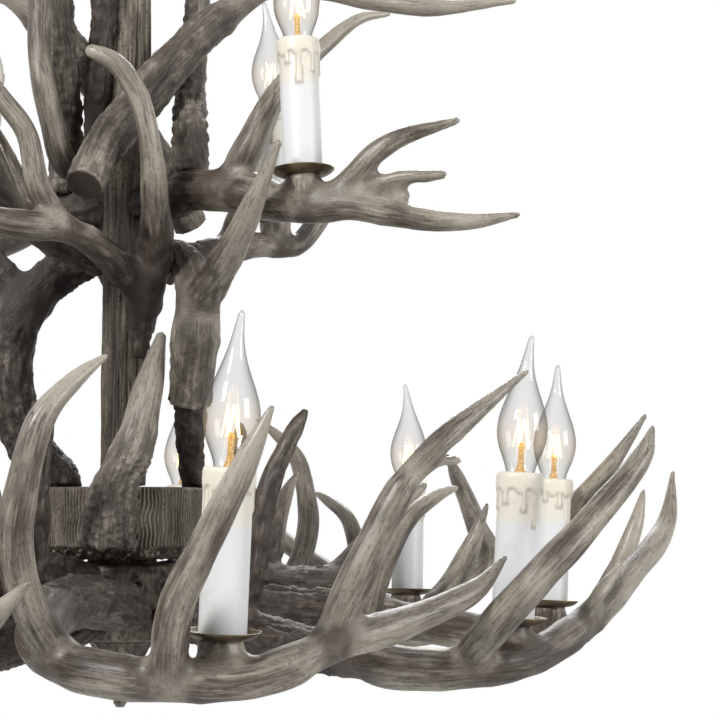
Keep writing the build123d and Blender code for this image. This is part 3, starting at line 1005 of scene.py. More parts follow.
@dataclass
class Skin:
    """The fused skin of an antler, each vertex of which knows its place on a straight limb.

    Attributes:
        mesh: The fused mesh.
        frames: Samples of every limb, with their frame, length and share.
        offset: What sets this antler's noise apart from that of the others.
        web_rounds: How often the webs between the limbs are rounded.
        points: Places of the vertices.
        nearest: Number of the sample whose skin is nearest to each vertex.
        clear: 0 where two limbs meet, and 1 away from there.
        crossing: How much of a web between limbs lies at a vertex.
        straight: Place of each vertex on its limb laid out straight.
        bark: How rough the skin is.
    """

    mesh: Mesh
    frames: dict[str, Array]
    offset: Array
    web_rounds: int = 36
    points: Array = field(init=False)
    nearest: Array = field(init=False)
    clear: Array = field(init=False)
    crossing: Array = field(init=False)
    straight: Array = field(init=False)
    bark: Array = field(init=False)

    def __post_init__(self) -> None:
        """Find where each vertex lies, and round the webs between the limbs."""
        self.points = coordinates(self.mesh)
        self.nearest, gap = self._nearest()
        self.clear = smoothstep(1.0 * MM, 9.0 * MM, gap)
        self.crossing = 1 - smoothstep(4.0 * MM, 13.0 * MM, gap)
        self.points = self.averaged(self.points, self.web_rounds)
        set_coordinates(self.mesh, self.points)
        arm = self.points - self.near("point")
        along = np.sum(arm * self.near("along"), axis=1)
        across = np.sum(arm * self.near("across"), axis=1)
        beside = np.sum(arm * self.near("beside"), axis=1)
        self.straight = np.c_[across, beside, self.near("walked") + along]

    def near(self, key: str) -> Array:
        """Read a value of the sample nearest to each vertex."""
        return self.frames[key][self.nearest]

    def waves(self, per_metre: Waves) -> Array:
        """Scale the straight places for noise, apart from other antlers."""
        return self.straight * np.array(per_metre) + self.offset

    def averaged(self, values: Array, rounds: int) -> Array:
        """Draw values towards the mean of their neighbours where limbs cross.

        Args:
            values: A number or a vector for each vertex.
            rounds: How often to draw them.

        Returns:
            The averaged values.
        """
        pairs = np.zeros(len(self.mesh.edges) * 2, int)
        self.mesh.edges.foreach_get("vertices", pairs)
        first, second = pairs[::2], pairs[1::2]
        ends, others = np.r_[first, second], np.r_[second, first]
        count = len(self.crossing)
        table = values.reshape(count, -1)
        degree = np.maximum(np.bincount(ends, minlength=count), 1)[:, None]
        for _ in range(rounds):
            mean = np.stack([np.bincount(ends, c[others], count) for c in table.T], axis=1)
            table = table + (mean / degree - table) * (0.75 * self.crossing)[:, None]
        return table.reshape(values.shape)

    def _nearest(self) -> tuple[Array, Array]:
        """Find the sample whose skin is nearest to each vertex.

        Returns:
            Its number, and how much farther the skin of any other limb is.
        """
        count, block = len(self.points), 4000
        best, gap = np.zeros(count, int), np.zeros(count)
        starts = np.unique(self.frames["limb"], return_index=True)[1]
        for start in range(0, count, block):
            some = slice(start, start + block)
            far = np.linalg.norm(self.points[some][:, None] - self.frames["point"][None], axis=2)
            far -= self.frames["girth"][None]
            best[some] = np.argmin(far, axis=1)
            per_limb = np.sort(np.minimum.reduceat(far, starts, axis=1), axis=1)
            gap[some] = per_limb[:, 1] - per_limb[:, 0] if per_limb.shape[1] > 1 else 1.0
        return best, gap

    def cut_mask(self) -> Array:
        """Mark the flat of a sawn end.

        Returns:
            1 on the flat and 0 elsewhere.
        """
        arm = np.sum((self.points - self.near("point")) * self.near("along"), axis=1)
        first = self.near("share") <= 0.0
        return ((self.near("kind") > 0.5) & first & (arm < 0.6 * MM)).astype(float)

    def sawn_end_shade(self, cut: Array) -> Array:
        """Paint a sawn end dark inside a thin pale rim: painted shade on the cut face, which faces
        down.

        Args:
            cut: Mask of the sawn end.

        Returns:
            How dark each vertex is.
        """
        along = self.near("along")
        arm = self.points - self.near("point")
        arm = arm - along * np.sum(arm * along, axis=1)[:, None]
        share = np.linalg.norm(arm, axis=1) / self.near("girth")
        return cut * (1 - smoothstep(0.82, 0.95, share))


@dataclass
class AntlerShape:
    """Grows the skin of an antler round its limbs.

    The skin is fused from one tube for each limb, then gets its furrows, crags and pearls.

    Attributes:
        limbs: The limbs.
        seed: What sets its noise apart.
        barkiness: How rough it is.
        voxel: Grain of the fused skin.
        columns: Points round each tube.
        furrow_mm: Depth of the furrows.
        pearl_mm: Height of the pearls on the roughest bark.
        root_reach: How far from the axis of the light the bark of a root reaches, with a darkening
            that is partly painted shade.
        pearls_per_m: How close the pearls stand.
        patch_waves: Waves in a metre across, beside and along a limb, for barky patches.
        swell_waves: The same for broad ridges.
        line_waves: The same for furrows.
        crag_waves: The same for crags.
        lumps_per_m: Waves in a metre for lumps.
        bark_rounds: How often the bark is averaged where limbs cross.
        height_rounds: The same for the relief.
        hollow_rounds: The same for the hollows.
    """

    limbs: list[Limb]
    seed: float = 0.0
    barkiness: float = 1.0
    voxel: float = 1.8 * MM
    columns: int = 18
    furrow_mm: float = 1.0
    pearl_mm: float = 1.5
    root_reach: float = 105.0 * MM
    pearls_per_m: float = 150.0
    patch_waves: Waves = (26.0, 26.0, 9.0)
    swell_waves: Waves = (75.0, 75.0, 9.0)
    line_waves: Waves = (135.0, 135.0, 12.0)
    crag_waves: Waves = (165.0, 165.0, 62.0)
    lumps_per_m: float = 34.0
    bark_rounds: int = 30
    height_rounds: int = 6
    hollow_rounds: int = 10

    def build(self, name: str) -> Mesh:
        """Make the mesh.

        Args:
            name: Name of the mesh.

        Returns:
            The skin with its painted values.
        """
        lines = [limb.sampled() for limb in self.limbs]
        offset = self.seed * np.array(SEED_SPREAD)
        skin = Skin(self._fused(name, lines), self._frames(lines), offset)
        skin.bark = skin.averaged(self._bark(skin), self.bark_rounds)
        cut = skin.cut_mask()
        raised, hollow = self._relief(skin)
        raised = skin.averaged(raised, self.height_rounds)
        hollow = skin.averaged(hollow, self.hollow_rounds)
        mesh = skin.mesh
        set_coordinates(mesh, skin.points + normals(mesh) * (raised * (1 - cut))[:, None])
        paint(mesh, "straight", skin.straight + offset * 0.1)
        paint(mesh, "bark", skin.bark)
        paint(mesh, "hollow", hollow * (1 - cut))
        paint(mesh, "clear", skin.clear)
        paint(mesh, "cut", skin.sawn_end_shade(cut))
        mesh.shade_smooth()
        return mesh

    def _fused(self, name: str, lines: Sequence[tuple[Array, Array]]) -> Mesh:
        """Fuse a tube for each limb into one closed skin.

        Args:
            name: Name of the mesh.
            lines: Points and half thickness along each limb.

        Returns:
            The fused mesh.
        """
        tubes = []
        for points, girth in lines:
            tangents, across, beside = self._carried(points)
            angles = bearings(self.columns)
            rings = [
                p + r * (np.cos(angles)[:, None] * n + np.sin(angles)[:, None] * b)
                for p, r, n, b in zip(points, girth, across, beside)
            ]
            tip = points[-1] + tangents[-1] * girth[-1] * 0.8
            cloud = np.vstack([*rings, points[:1], tip[None]])
            tubes.append(mesh_from("tube", cloud, grid_faces(len(points), self.columns)))
        holder = new_object(f"{name}_rough", joined(f"{name}_rough", tubes))
        remesh = holder.modifiers.new("fuse", "REMESH")
        remesh.mode = "VOXEL"
        remesh.voxel_size = self.voxel
        soften = holder.modifiers.new("soften", "SMOOTH")
        soften.factor = 0.5
        soften.iterations = 4
        mesh = evaluated(holder)
        mesh.name = name
        return mesh

    @staticmethod
    def _carried(points: Array) -> tuple[Array, Array, Array]:
        """Carry a frame along a line without twist.

        Args:
            points: Points along the line.

        Returns:
            The way along, across and beside the line at each point.
        """
        tangents = np.gradient(points, axis=0)
        tangents /= np.linalg.norm(tangents, axis=1)[:, None]
        across = np.zeros_like(points)
        side = np.cross(tangents[0], np.array([0.3, -0.2, 1.0]))
        for index, tangent in enumerate(tangents):
            side = side - tangent * np.dot(side, tangent)
            side /= np.linalg.norm(side)
            across[index] = side
        return tangents, across, np.cross(tangents, across)

    def _frames(self, lines: Sequence[tuple[Array, Array]]) -> dict[str, Array]:
        """Collect every sample of every limb.

        Args:
            lines: Points and half thickness along each limb.

        Returns:
            Their places, frames, lengths, shares and limbs, by name.
        """
        rows: list[dict[str, Array]] = []
        for number, ((points, girth), limb) in enumerate(zip(lines, self.limbs)):
            tangents, across, beside = self._carried(points)
            steps = np.linalg.norm(np.diff(points, axis=0), axis=1)
            walked = np.r_[0, np.cumsum(steps)]
            rows.append(
                {
                    "point": points,
                    "girth": girth,
                    "along": tangents,
                    "across": across,
                    "beside": beside,
                    "walked": walked + number * LIMB_SHIFT,
                    "share": walked / walked[-1],
                    "kind": np.full(len(points), 1.0 if limb.kind is LimbKind.SAWN else 0.0),
                    "limb": np.full(len(points), number),
                }
            )
        return {key: np.concatenate([row[key] for row in rows]) for key in rows[0]}

    def _bark(self, skin: Skin) -> Array:
        """Say how rough the skin is.

        Args:
            skin: The fused skin.

        Returns:
            From 0 at a polished tip to 1 near the column or the root.
        """
        patches = noise_at(skin.waves(self.patch_waves))
        girth = skin.near("girth")
        rough = smoothstep(3.5 * MM, 13.0 * MM, girth) * (1.0 - 0.6 * skin.near("share"))
        radial = np.hypot(skin.points[:, 0], skin.points[:, 1])
        # Near the axis of the light the bark rises, and the shader paints it darker: partly darker
        # root bark, partly painted shade near the column.
        root_bark_and_shade = smoothstep(self.root_reach, self.root_reach * 0.45, radial)
        root_bark_and_shade *= 0.6 + 0.4 * patches
        return np.clip((rough + 0.35 * patches) * self.barkiness + 1.35 * root_bark_and_shade, 0.0, 1.0)

    def _relief(self, skin: Skin) -> tuple[Array, Array]:
        """Raise ridges, furrows, crags, lumps and pearls.

        Args:
            skin: The fused skin, with its bark.

        Returns:
            The height of each vertex over the tube, and how deep it lies in a hollow.
        """
        bark, clear, girth = skin.bark, skin.clear, skin.near("girth")
        swell = noise_at(skin.waves(self.swell_waves))
        line = noise_at(skin.waves(self.line_waves) + 31.0)
        lump = noise_at(skin.points * self.lumps_per_m + skin.offset + 11.0)
        furrow = 1 - smoothstep(0.0, 0.15, np.abs(line))
        furrow *= clear * smoothstep(-0.25, 0.25, swell + bark - 0.3)
        depth = furrow * 0.75 * self.furrow_mm * (0.4 + 0.6 * bark)
        height = swell * 0.6 * clear * (0.5 + bark) - depth
        height += lump * 0.1 * girth / MM
        crag = np.zeros(len(bark))
        rough = np.nonzero(bark > 0.45)[0]
        if len(rough):
            place = skin.waves(self.crag_waves)[rough] + 57.0
            crag[rough] = noise_at(place, 3) * smoothstep(0.45, 0.85, bark[rough])
        height += crag * 1.8 * self.furrow_mm
        pearl_zone = smoothstep(0.78, 1.0, bark + 0.15 * swell)
        pearls = np.zeros(len(bark))
        for index in np.nonzero(pearl_zone > 0.01)[0]:
            place = Vector(skin.straight[index]) * self.pearls_per_m + Vector(skin.offset)
            near = noise.voronoi(place)[0][0]
            pearls[index] = max(0.0, 1 - near * near * 2.6)
        height += pearls * pearl_zone * self.pearl_mm
        limit = 0.2 * girth / MM
        height = np.clip(height, -limit, limit)
        # The hollow mask is painted shade: the shader darkens the furrows, the pits between crags,
        # the gaps between pearls and the broad dips.
        hollow = furrow * (0.35 + 0.65 * bark) + smoothstep(0.05, -0.28, crag) * (crag != 0)
        hollow += 0.7 * pearl_zone * (pearls < 0.25)
        hollow += 0.3 * smoothstep(0.1, 0.6, -swell) * (0.3 + bark)
        return height * MM, np.clip(hollow, 0.0, 1.0)


def turned(mesh: Mesh, bearing: float) -> Mesh:
    """Copy a mesh and turn it round the column by a bearing in degrees."""
    return moved(mesh.copy(), Matrix.Rotation(math.radians(bearing), 4, "Z"))


def seat_pad(seat: Vector, lean: Vector) -> Limb:
    """Stand the round pad of a drip pan on its seat.

    Args:
        seat: The seat of the candle.
        lean: Which way the candle stands.

    Returns:
        The pad, as a short limb.
    """
    rows = [(-22.0, 11.5), (-12.0, 13.6), (-9.0, 14.3), (-1.4, 14.5), (-0.6, 13.8)]
    return Limb([(*(seat + lean * h * MM), r * MM) for h, r in rows], LimbKind.PAD)


@dataclass
class AntlerGroup:
    """Antlers that are fixed to the light."""

    layout: Layout
    finishes: FinishSet

    def place(self, name: str, mesh: Mesh, finish: str, node: str) -> None:
        """Let a grown antler stand for its solid."""
        finish_piece(name, mesh, self.finishes[finish], "fixture", [node])


@dataclass
class LowerRing(AntlerGroup):
    """Nine antlers that leave the hub and carry the lower candles, with three spurs."""

    first_bearing: float = -80.0
    spacing: float = 40.0
    spur_turn: float = 37.0
    root_reach: float = 290.0 * MM
    furrow_mm: float = 1.25

    def sweeping(self) -> list[Limb]:
        """Draw the antler whose beam swings wide and rises in tall tines at its end.

        Returns:
            Its limbs, the beam first.
        """
        hub, seat = self.layout.from_hub, self.layout.from_seat
        beam = (
            hub((-8, 0, -4, 13), (16, -6, -2, 16), (66, -40, 6, 18), (136, -72, 6, 17))
            + seat((-87, -94, -2, 15.5), (-32, -88, -14, 14), (-5, -60, -20, 13.5))
            + seat((6, -28, -23, 13), (9, 6, -23, 12.5), (8, 40, -15, 12.5), (2, 70, -3, 12))
            + seat((-7, 114, 7, 10.5), (-19, 164, 24, 7.5), (-32, 193, 46, 2))
        )
        tall = seat((-37, -88, -12, 12), (-19, -110, 20, 11), (-5, -120, 55, 10.5))
        tall += seat((8, -119, 85, 10), (13, -109, 126, 8), (8, -89, 150, 5.5), (3, -70, 165, 2))
        front = seat((7, -34, -20, 11.5), (31, -34, 22, 10.5), (51, -24, 52, 9.5))
        front += seat((67, -4, 100, 7.5), (75, 10, 133, 2))
        long = seat((1, 62, -8, 11.5), (6, 86, 46, 10.5), (9, 110, 92, 9.5))
        long += seat((9, 141, 123, 7.5), (-2, 196, 163, 2))
        fork = seat((8, 118, 98, 6.5), (1, 136, 106, 5), (-7, 152, 106, 2))
        return [Limb(beam, LimbKind.BEAM), Limb(tall), Limb(front), Limb(long), Limb(fork)]

    def reaching(self, short: bool = False) -> list[Limb]:
        """Draw the antler whose beam bends round its candle into an outer sweep.

        Args:
            short: Whether the sweep ends early.

        Returns:
            Its limbs, the beam first.
        """
        hub, seat = self.layout.from_hub, self.layout.from_seat
        beam = (
            hub((-8, 0, -10, 13), (16, 0, -12, 16), (76, -2, -20, 16), (181, -24, -32, 15))
            + seat((-37, -50, -28, 14.5), (1, -22, -25, 13.5), (13, 24, -18, 12.5))
            + seat((19, 84, 2, 12))
        )
        if short:
            beam += seat((20, 116, 10, 9), (23, 150, 36, 2))
        else:
            beam += seat((22, 146, 29, 10), (24, 208, 64, 8), (23, 228, 106, 2))
        front = seat((-15, -38, -22, 11.5), (41, -61, 25, 11), (65, -30, 62, 10))
        front += seat((87, 10, 106, 7.5), (91, 27, 131, 2))
        tall = seat((-105, -26, -26, 11), (-92, -24, 24, 9), (-82, -4, 66, 7))
        tall += seat((-75, 30, 86, 5), (-69, 50, 92, 2))
        spur = seat((17, 66, -4, 8), (29, 76, 18, 6), (38, 94, 38, 2))
        brow = hub((68, -4, -18, 11), (80, 2, 34, 10), (88, 8, 86, 8.5))
        brow += hub((102, 22, 130, 6.5), (108, 28, 144, 3))
        return [Limb(beam, LimbKind.BEAM), Limb(front), Limb(tall), Limb(spur), Limb(brow)]

    def fanning(self) -> list[Limb]:
        """Draw the shorter antler whose tines fan outwards behind its candle.

        Returns:
            Its limbs, the beam first.
        """
        hub, seat = self.layout.from_hub, self.layout.from_seat
        beam = (
            hub((-8, 0, -4, 13), (16, 6, -3, 16), (76, 30, -6, 16), (156, 42, -14, 16))
            + seat((-67, 40, -20, 15), (-19, 24, -28, 14), (5, 2, -26, 13), (27, -12, -14, 11))
            + seat((49, -24, 28, 9), (63, -26, 62, 7), (73, -20, 92, 2))
        )
        rear = seat((-25, 32, -24, 11), (1, 35, 28, 10), (25, 22, 74, 9.5))
        rear += seat((50, -6, 112, 7), (75, -22, 152, 2))
        tall = seat((-97, 42, -10, 11), (-69, 70, 10, 10.5), (-47, 90, 40, 9), (-31, 86, 82, 2))
        return [Limb(beam, LimbKind.BEAM), Limb(rear), Limb(tall)]

    def spur(self) -> list[Limb]:
        """Draw the barky inner spur that rises beside each fanning antler.

        Returns:
            Its limbs, the beam first.
        """
        hub = self.layout.from_hub
        beam = hub((-8, 0, 20, 9), (14, -3, 24, 10), (36, -12, 26, 12.5), (76, -27, 14, 14))
        beam += hub((142, -32, 10, 15), (178, -36, 32, 13), (208, -42, 64, 10), (241, -54, 93, 3))
        tine = hub((86, -24, 14, 9.5), (116, 0, 52, 8), (138, 12, 84, 6), (153, 14, 103, 2))
        return [Limb(beam, LimbKind.BEAM), Limb(tine)]

    def build(self) -> None:
        """Make the nine antlers and the three spurs."""
        lean = Vector((math.sin(math.radians(3.0)), math.sin(math.radians(1.5)), 1.0))
        pad = seat_pad(Vector((self.layout.ring_radius, 0, self.layout.seat_height)), lean)
        skins = {}
        for key, limbs, seed, barkiness in (
            ("sweeping", self.sweeping(), 1.0, 0.42),
            ("reaching", self.reaching(), 2.0, 0.5),
            ("short", self.reaching(short=True), 2.0, 0.5),
            ("fanning", self.fanning(), 3.0, 0.5),
        ):
            skins[key] = AntlerShape(
                [*limbs, pad],
                seed,
                barkiness,
                root_reach=self.root_reach,
                furrow_mm=self.furrow_mm,
            ).build(f"{key}_antler")
        order = ["sweeping", "reaching", "fanning", "reaching", "sweeping"]
        order += ["fanning", "reaching", "fanning", "short"]
        spur = AntlerShape(self.spur(), seed=4.0, barkiness=1.25, furrow_mm=1.3).build("spur")
        spurs = 0
        for number, key in enumerate(order, start=1):
            bearing = self.first_bearing + (number - 1) * self.spacing
            skin, node = turned(skins[key], bearing), f"lower_antler_{number}"
            self.place(f"{key}_antler_{number}", skin, "pale_antler", node)
            if key == "fanning":
                spurs += 1
                skin = turned(spur, bearing + self.spur_turn)
                self.place(f"inner_spur_{spurs}", skin, "barky_antler", f"hub_spur_{spurs}")


@dataclass
class UpperTier(AntlerGroup):
    """Four arms that leave the column and carry the upper candles."""

    first_bearing: float = -45.5
    barkiness: float = 0.5

    def broad(self) -> list[Limb]:
        """Draw the palm-like arm with fingers.

        Returns:
            Its limbs, the beam first.
        """
        up = partial(self.layout.from_upper, self.layout.upper_seat)
        beam = self.layout.from_column(308, (-6, 0, 0, 12), (25, 0, 1, 17), (61, 0, 4, 16))
        beam += up((-61, 0, -5, 17.5), (-27, -1, -16, 15), (2, 2, -23, 12.5), (32, 9, -23, 12))
        beam += up((60, 25, -29, 10), (83, 40, -35, 8), (112, 54, -37, 6), (140, 69, -33, 2.5))
        high = up((16, 5, -16, 9), (34, 10, -6, 9), (64, 20, 20, 7.5), (107, 42, 34, 2.5))
        middle = up((30, 10, -18, 8), (56, 24, -7, 7), (97, 39, -4, 3.5))
        low = up((35, 14, -22, 8), (66, 36, -16, 6.5))
        rise = up((-72, 0, 0, 14), (-52, 1, 30, 11), (-39, 15, 69, 8.5))
        rise += up((-22, 47, 108, 6.5), (-5, 71, 133, 4.5), (9, 93, 140, 2))
        return [Limb(beam, LimbKind.BEAM), Limb(high), Limb(middle), Limb(low), Limb(rise)]

    def rising(self) -> list[Limb]:
        """Draw the slimmer arm that climbs past its candle.

        Returns:
            Its limbs, the beam first.
        """
        up = partial(self.layout.from_upper, self.layout.far_seat)
        beam = self.layout.from_column(263, (-6, 0, 0, 12), (25, 0, 3, 14), (63, 0, 13, 14))
        beam += up((-60, 0, -32, 13), (-28, 0, -24, 12), (2, 0, -22, 11), (26, -5, -16, 10))
        beam += up((50, -12, 12, 9), (72, -21, 46, 8), (106, -34, 78, 6), (132, -42, 96, 2.5))
        rise = up((-62, 0, -28, 11), (-50, -12, 16, 8.5), (-42, -20, 60, 6.5), (-30, -34, 98, 2))
        return [Limb(beam, LimbKind.BEAM), Limb(rise)]

    def build(self) -> None:
        """Make the four arms."""
        lean = Vector((-math.sin(math.radians(3.0)), 0.0, 1.0))
        forms = []
        for name, limbs, height, seed in (
            ("broad_arm", self.broad(), self.layout.upper_seat, 5.0),
            ("rising_arm", self.rising(), self.layout.far_seat, 6.0),
        ):
            pad = seat_pad(Vector((self.layout.upper_radius, 0, height)), lean)
            forms.append(AntlerShape([*limbs, pad], seed, self.barkiness).build(name))
        for index in range(4):
            form, number = forms[index % 2], index + 1
            skin = turned(form, self.first_bearing + 90 * index)
            self.place(f"{form.name}_{number}", skin, "pale_antler", f"upper_arm_{number}")


@dataclass(frozen=True)
class TangleAntler:
    """One of the shorter antlers that stand round the column.

    Attributes:
        places: The solids it stands for, and the bearing that each copy is turned by.
        finish: Name of its finish.
        seed: What sets its noise apart.
        barkiness: How rough it is.
        lines: Stand-off, bearing, height and half thickness along each limb.
        start: How its first limb starts.
        values: Other values of its shape.
    """

    places: dict[str, float]
    finish: str
    seed: float
    barkiness: float
    lines: tuple[tuple[Station, ...], ...]
    start: LimbKind = LimbKind.BEAM
    values: dict[str, float] = field(default_factory=dict)


TANGLE = (
    TangleAntler(
        {"fork_antler": 0.0}, "pale_antler", 7.0, 0.4,
        (
            ((10, -63, 186, 5), (11, -64, 208, 9), (16.5, -63, 236, 16), (39, -67, 268, 13),
             (62, -75, 305, 10.5), (76, -80, 342, 8), (81, -86, 375, 8), (81, -96, 398, 7.5),
             (81, -107, 407, 5)),
            ((17, -63, 236, 15), (31, -90, 249, 12.5), (60, -104, 262, 11), (91, -112, 271, 11),
             (121, -120, 271, 11.5), (147, -124, 271, 11), (190, -127, 276, 9),
             (239, -129, 294, 2.5)),
            ((95, -113, 272, 11), (111, -119, 298, 9), (121, -121, 337, 8), (132, -127, 364, 7),
             (143, -134, 398, 2)),
        ),
    ),
    TangleAntler(
        {"rear_antler": 0.0}, "pale_antler", 8.0, 0.6,
        (
            ((2, 92, 150, 8), (16, 92, 200, 15), (36, 90, 250, 13), (50, 84, 300, 11),
             (56, 92, 350, 9), (50, 104, 400, 7), (40, 110, 440, 2.5)),
            ((36, 90, 250, 11), (60, 100, 268, 10), (84, 104, 300, 8), (96, 100, 345, 5.5),
             (98, 96, 380, 2)),
        ),
    ),
    TangleAntler(
        {"arched_antler": 0.0}, "barky_antler", 9.0, 1.1,
        (
            ((40, 143, 88, 13), (43, 144, 96, 14.5), (63, 154, 118, 17), (77, 162, 166, 18),
             (73, 163, 213, 20), (49, 160, 248, 18), (24, 152, 264, 14), (0, 146, 272, 10)),
            ((61, 162, 233, 15), (102, 160, 273, 12), (135, 157, 328, 9), (153, 152, 388, 2.5)),
        ),
    ),
    TangleAntler(
        {"sawn_antler": 0.0}, "grey_bark", 10.0, 0.95,
        (
            ((46, -39, 151, 17), (56.5, -45, 183, 17.5), (59, -45, 218, 18), (45, -36, 252, 14),
             (24, -23, 269, 11.5), (2, -14, 274, 9)),
            ((61, -46, 223, 15), (91, -52, 242, 12.5), (113, -54, 259, 11), (143, -56, 288, 8.5),
             (173, -56, 329, 2.5)),
        ),
        LimbKind.SAWN, {"pearl_mm": 0.4},
    ),
    TangleAntler(
        {"prop_antler": 0.0}, "pale_antler", 11.0, 0.5,
        (
            ((37, 3, 88.6, 9), (37, 3, 94, 9), (35, -4, 114, 9.5), (37, -22, 134, 11),
             (42, -32, 150, 12)),
        ),
    ),
    TangleAntler(
        {"collar_antler": 0.0}, "grey_bark", 12.0, 1.3,
        (
            ((53, -98, 43, 20), (53, -97, 68, 18.5), (49, -93, 93, 15.5), (43.5, -82, 120, 14.5),
             (37.5, -73, 153, 12), (32, -63, 180, 8.5), (30, -54, 203, 4)),
        ),
        values={"voxel": 1.1 * MM, "pearl_mm": 2.2, "root_reach": 58 * MM, "pearls_per_m": 230.0},
    ),
    TangleAntler(
        {"crown_antler_1": 0.0, "crown_antler_2": 165.0}, "grey_bark", 13.0, 0.7,
        (
            ((78, -109, 307, 15), (49, -105, 341, 16), (17, -88, 373, 17), (20, -26, 417, 16),
             (44, -5, 450, 14.5), (71, 4, 477, 13), (96, 6, 508, 11), (110, 7, 548, 7),
             (115, 10, 583, 2.5)),
            ((71, 3, 477, 11), (101, -4, 489, 9.5), (135, -10, 480, 8), (215, -15, 459, 7),
             (289, -17, 458, 2.5)),
        ),
        LimbKind.SAWN, {"pearl_mm": 0.4},
    ),
    TangleAntler(
        {"twin_antler": 0.0}, "pale_antler", 14.0, 0.4,
        (
            ((10, -149, 338, 9.5), (10, -149, 368, 10), (10, -147, 404, 9.8),
             (12, -135, 470, 9.5), (26, -142, 518, 8), (50, -153, 568, 2.5)),
            ((10, -149, 348, 9.5), (35, -133, 330, 9.5), (60, -129, 332, 9.5),
             (75, -131, 381, 9.5), (76, -135, 417, 9), (73, -138, 460, 8), (76, -141, 517, 2.5)),
        ),
    ),
    TangleAntler(
        {"standing_antler_1": 0.0, "standing_antler_2": 180.0}, "grey_bark", 15.0, 0.75,
        (
            ((43, -39, 326, 15), (40, -32, 353, 13), (32, 0, 386, 12.5), (38.5, 23, 428, 11.5),
             (53, 35, 488, 9.5), (60, 37, 538, 2.5)),
        ),
        values={"pearl_mm": 2.0},
    ),
)


@dataclass
class ColumnTangle(AntlerGroup):
    """The shorter antlers that stand round the column."""

    def build(self) -> None:
        """Make each antler of the tangle."""
        for antler in TANGLE:
            limbs = [Limb(self.layout.round_column(*line)) for line in antler.lines]
            limbs[0].kind = antler.start
            shape = AntlerShape(limbs, antler.seed, antler.barkiness, **antler.values)
            skin = shape.build(f"{next(iter(antler.places))}_skin")
            for node, bearing in antler.places.items():
                copy = turned(skin, bearing) if bearing else skin
                self.place(f"{node}_grown", copy, antler.finish, node)


# ---- column, collar, hub and tail ----
def outlined(radius: float, *levels: Sequence) -> Profile:
    """Lay out a profile by shares of a radius and heights over a few levels.

    Args:
        radius: The radius that the shares are of, in metres.
        levels: A level in metres, then pairs of share and millimetres over it.

    Returns:
        Radius and height pairs in metres, in the order given.
    """
    return [(radius * share, z + rise * MM) for z, *pairs in levels for share, rise in pairs]


@dataclass
class BarkTurning:
    """An upright turned form with a bark skin.

    Attributes:
        profile: Radius and height pairs in metres, going up the outside.
        columns: Points round it.
        row_step: Height between rings, in metres.
        relief: Gives the height and the hollow of each point by angle and height.
        roughness: How barky it is.
    """

    profile: Profile
    columns: int
    row_step: float
    relief: Callable[[Array, Array], tuple[Array, Array]]
    roughness: float = 1.0

    def build(self, name: str) -> Mesh:
        """Make the mesh.

        Args:
            name: Name of the mesh.

        Returns:
            The turned form with its painted values.
        """
        knots = np.array(self.profile, float)
        rows = [knots[0]]
        for low, high in zip(knots[:-1], knots[1:]):
            count = max(1, int(np.linalg.norm(high - low) / self.row_step))
            rows += [low + (high - low) * (k + 1) / count for k in range(count)]
        outline = np.array(rows)
        radius = np.repeat(outline[:, 0], self.columns)
        height = np.repeat(outline[:, 1], self.columns)
        angle = np.tile(bearings(self.columns), len(outline))
        raised, hollow = self.relief(angle, height)
        poles = np.array([[0, 0, outline[0, 1]], [0, 0, outline[-1, 1]]])
        points = np.vstack([on_cylinder(angle, height, radius + raised), poles])
        mesh = mesh_from(name, points, grid_faces(len(outline), self.columns))
        straight = np.vstack([on_cylinder(angle, height, radius), poles])
        paint(mesh, "straight", straight)
        paint(mesh, "bark", np.full(len(straight), self.roughness))
        # The hollow mask is painted shade: the shader darkens the grooves towards its recess
        # colour.
        paint(mesh, "hollow", np.r_[hollow, 0.4, 0.4] * self.roughness)
        paint(mesh, "cut", np.zeros(len(straight)))
        paint(mesh, "clear", np.ones(len(straight)))
        return mesh


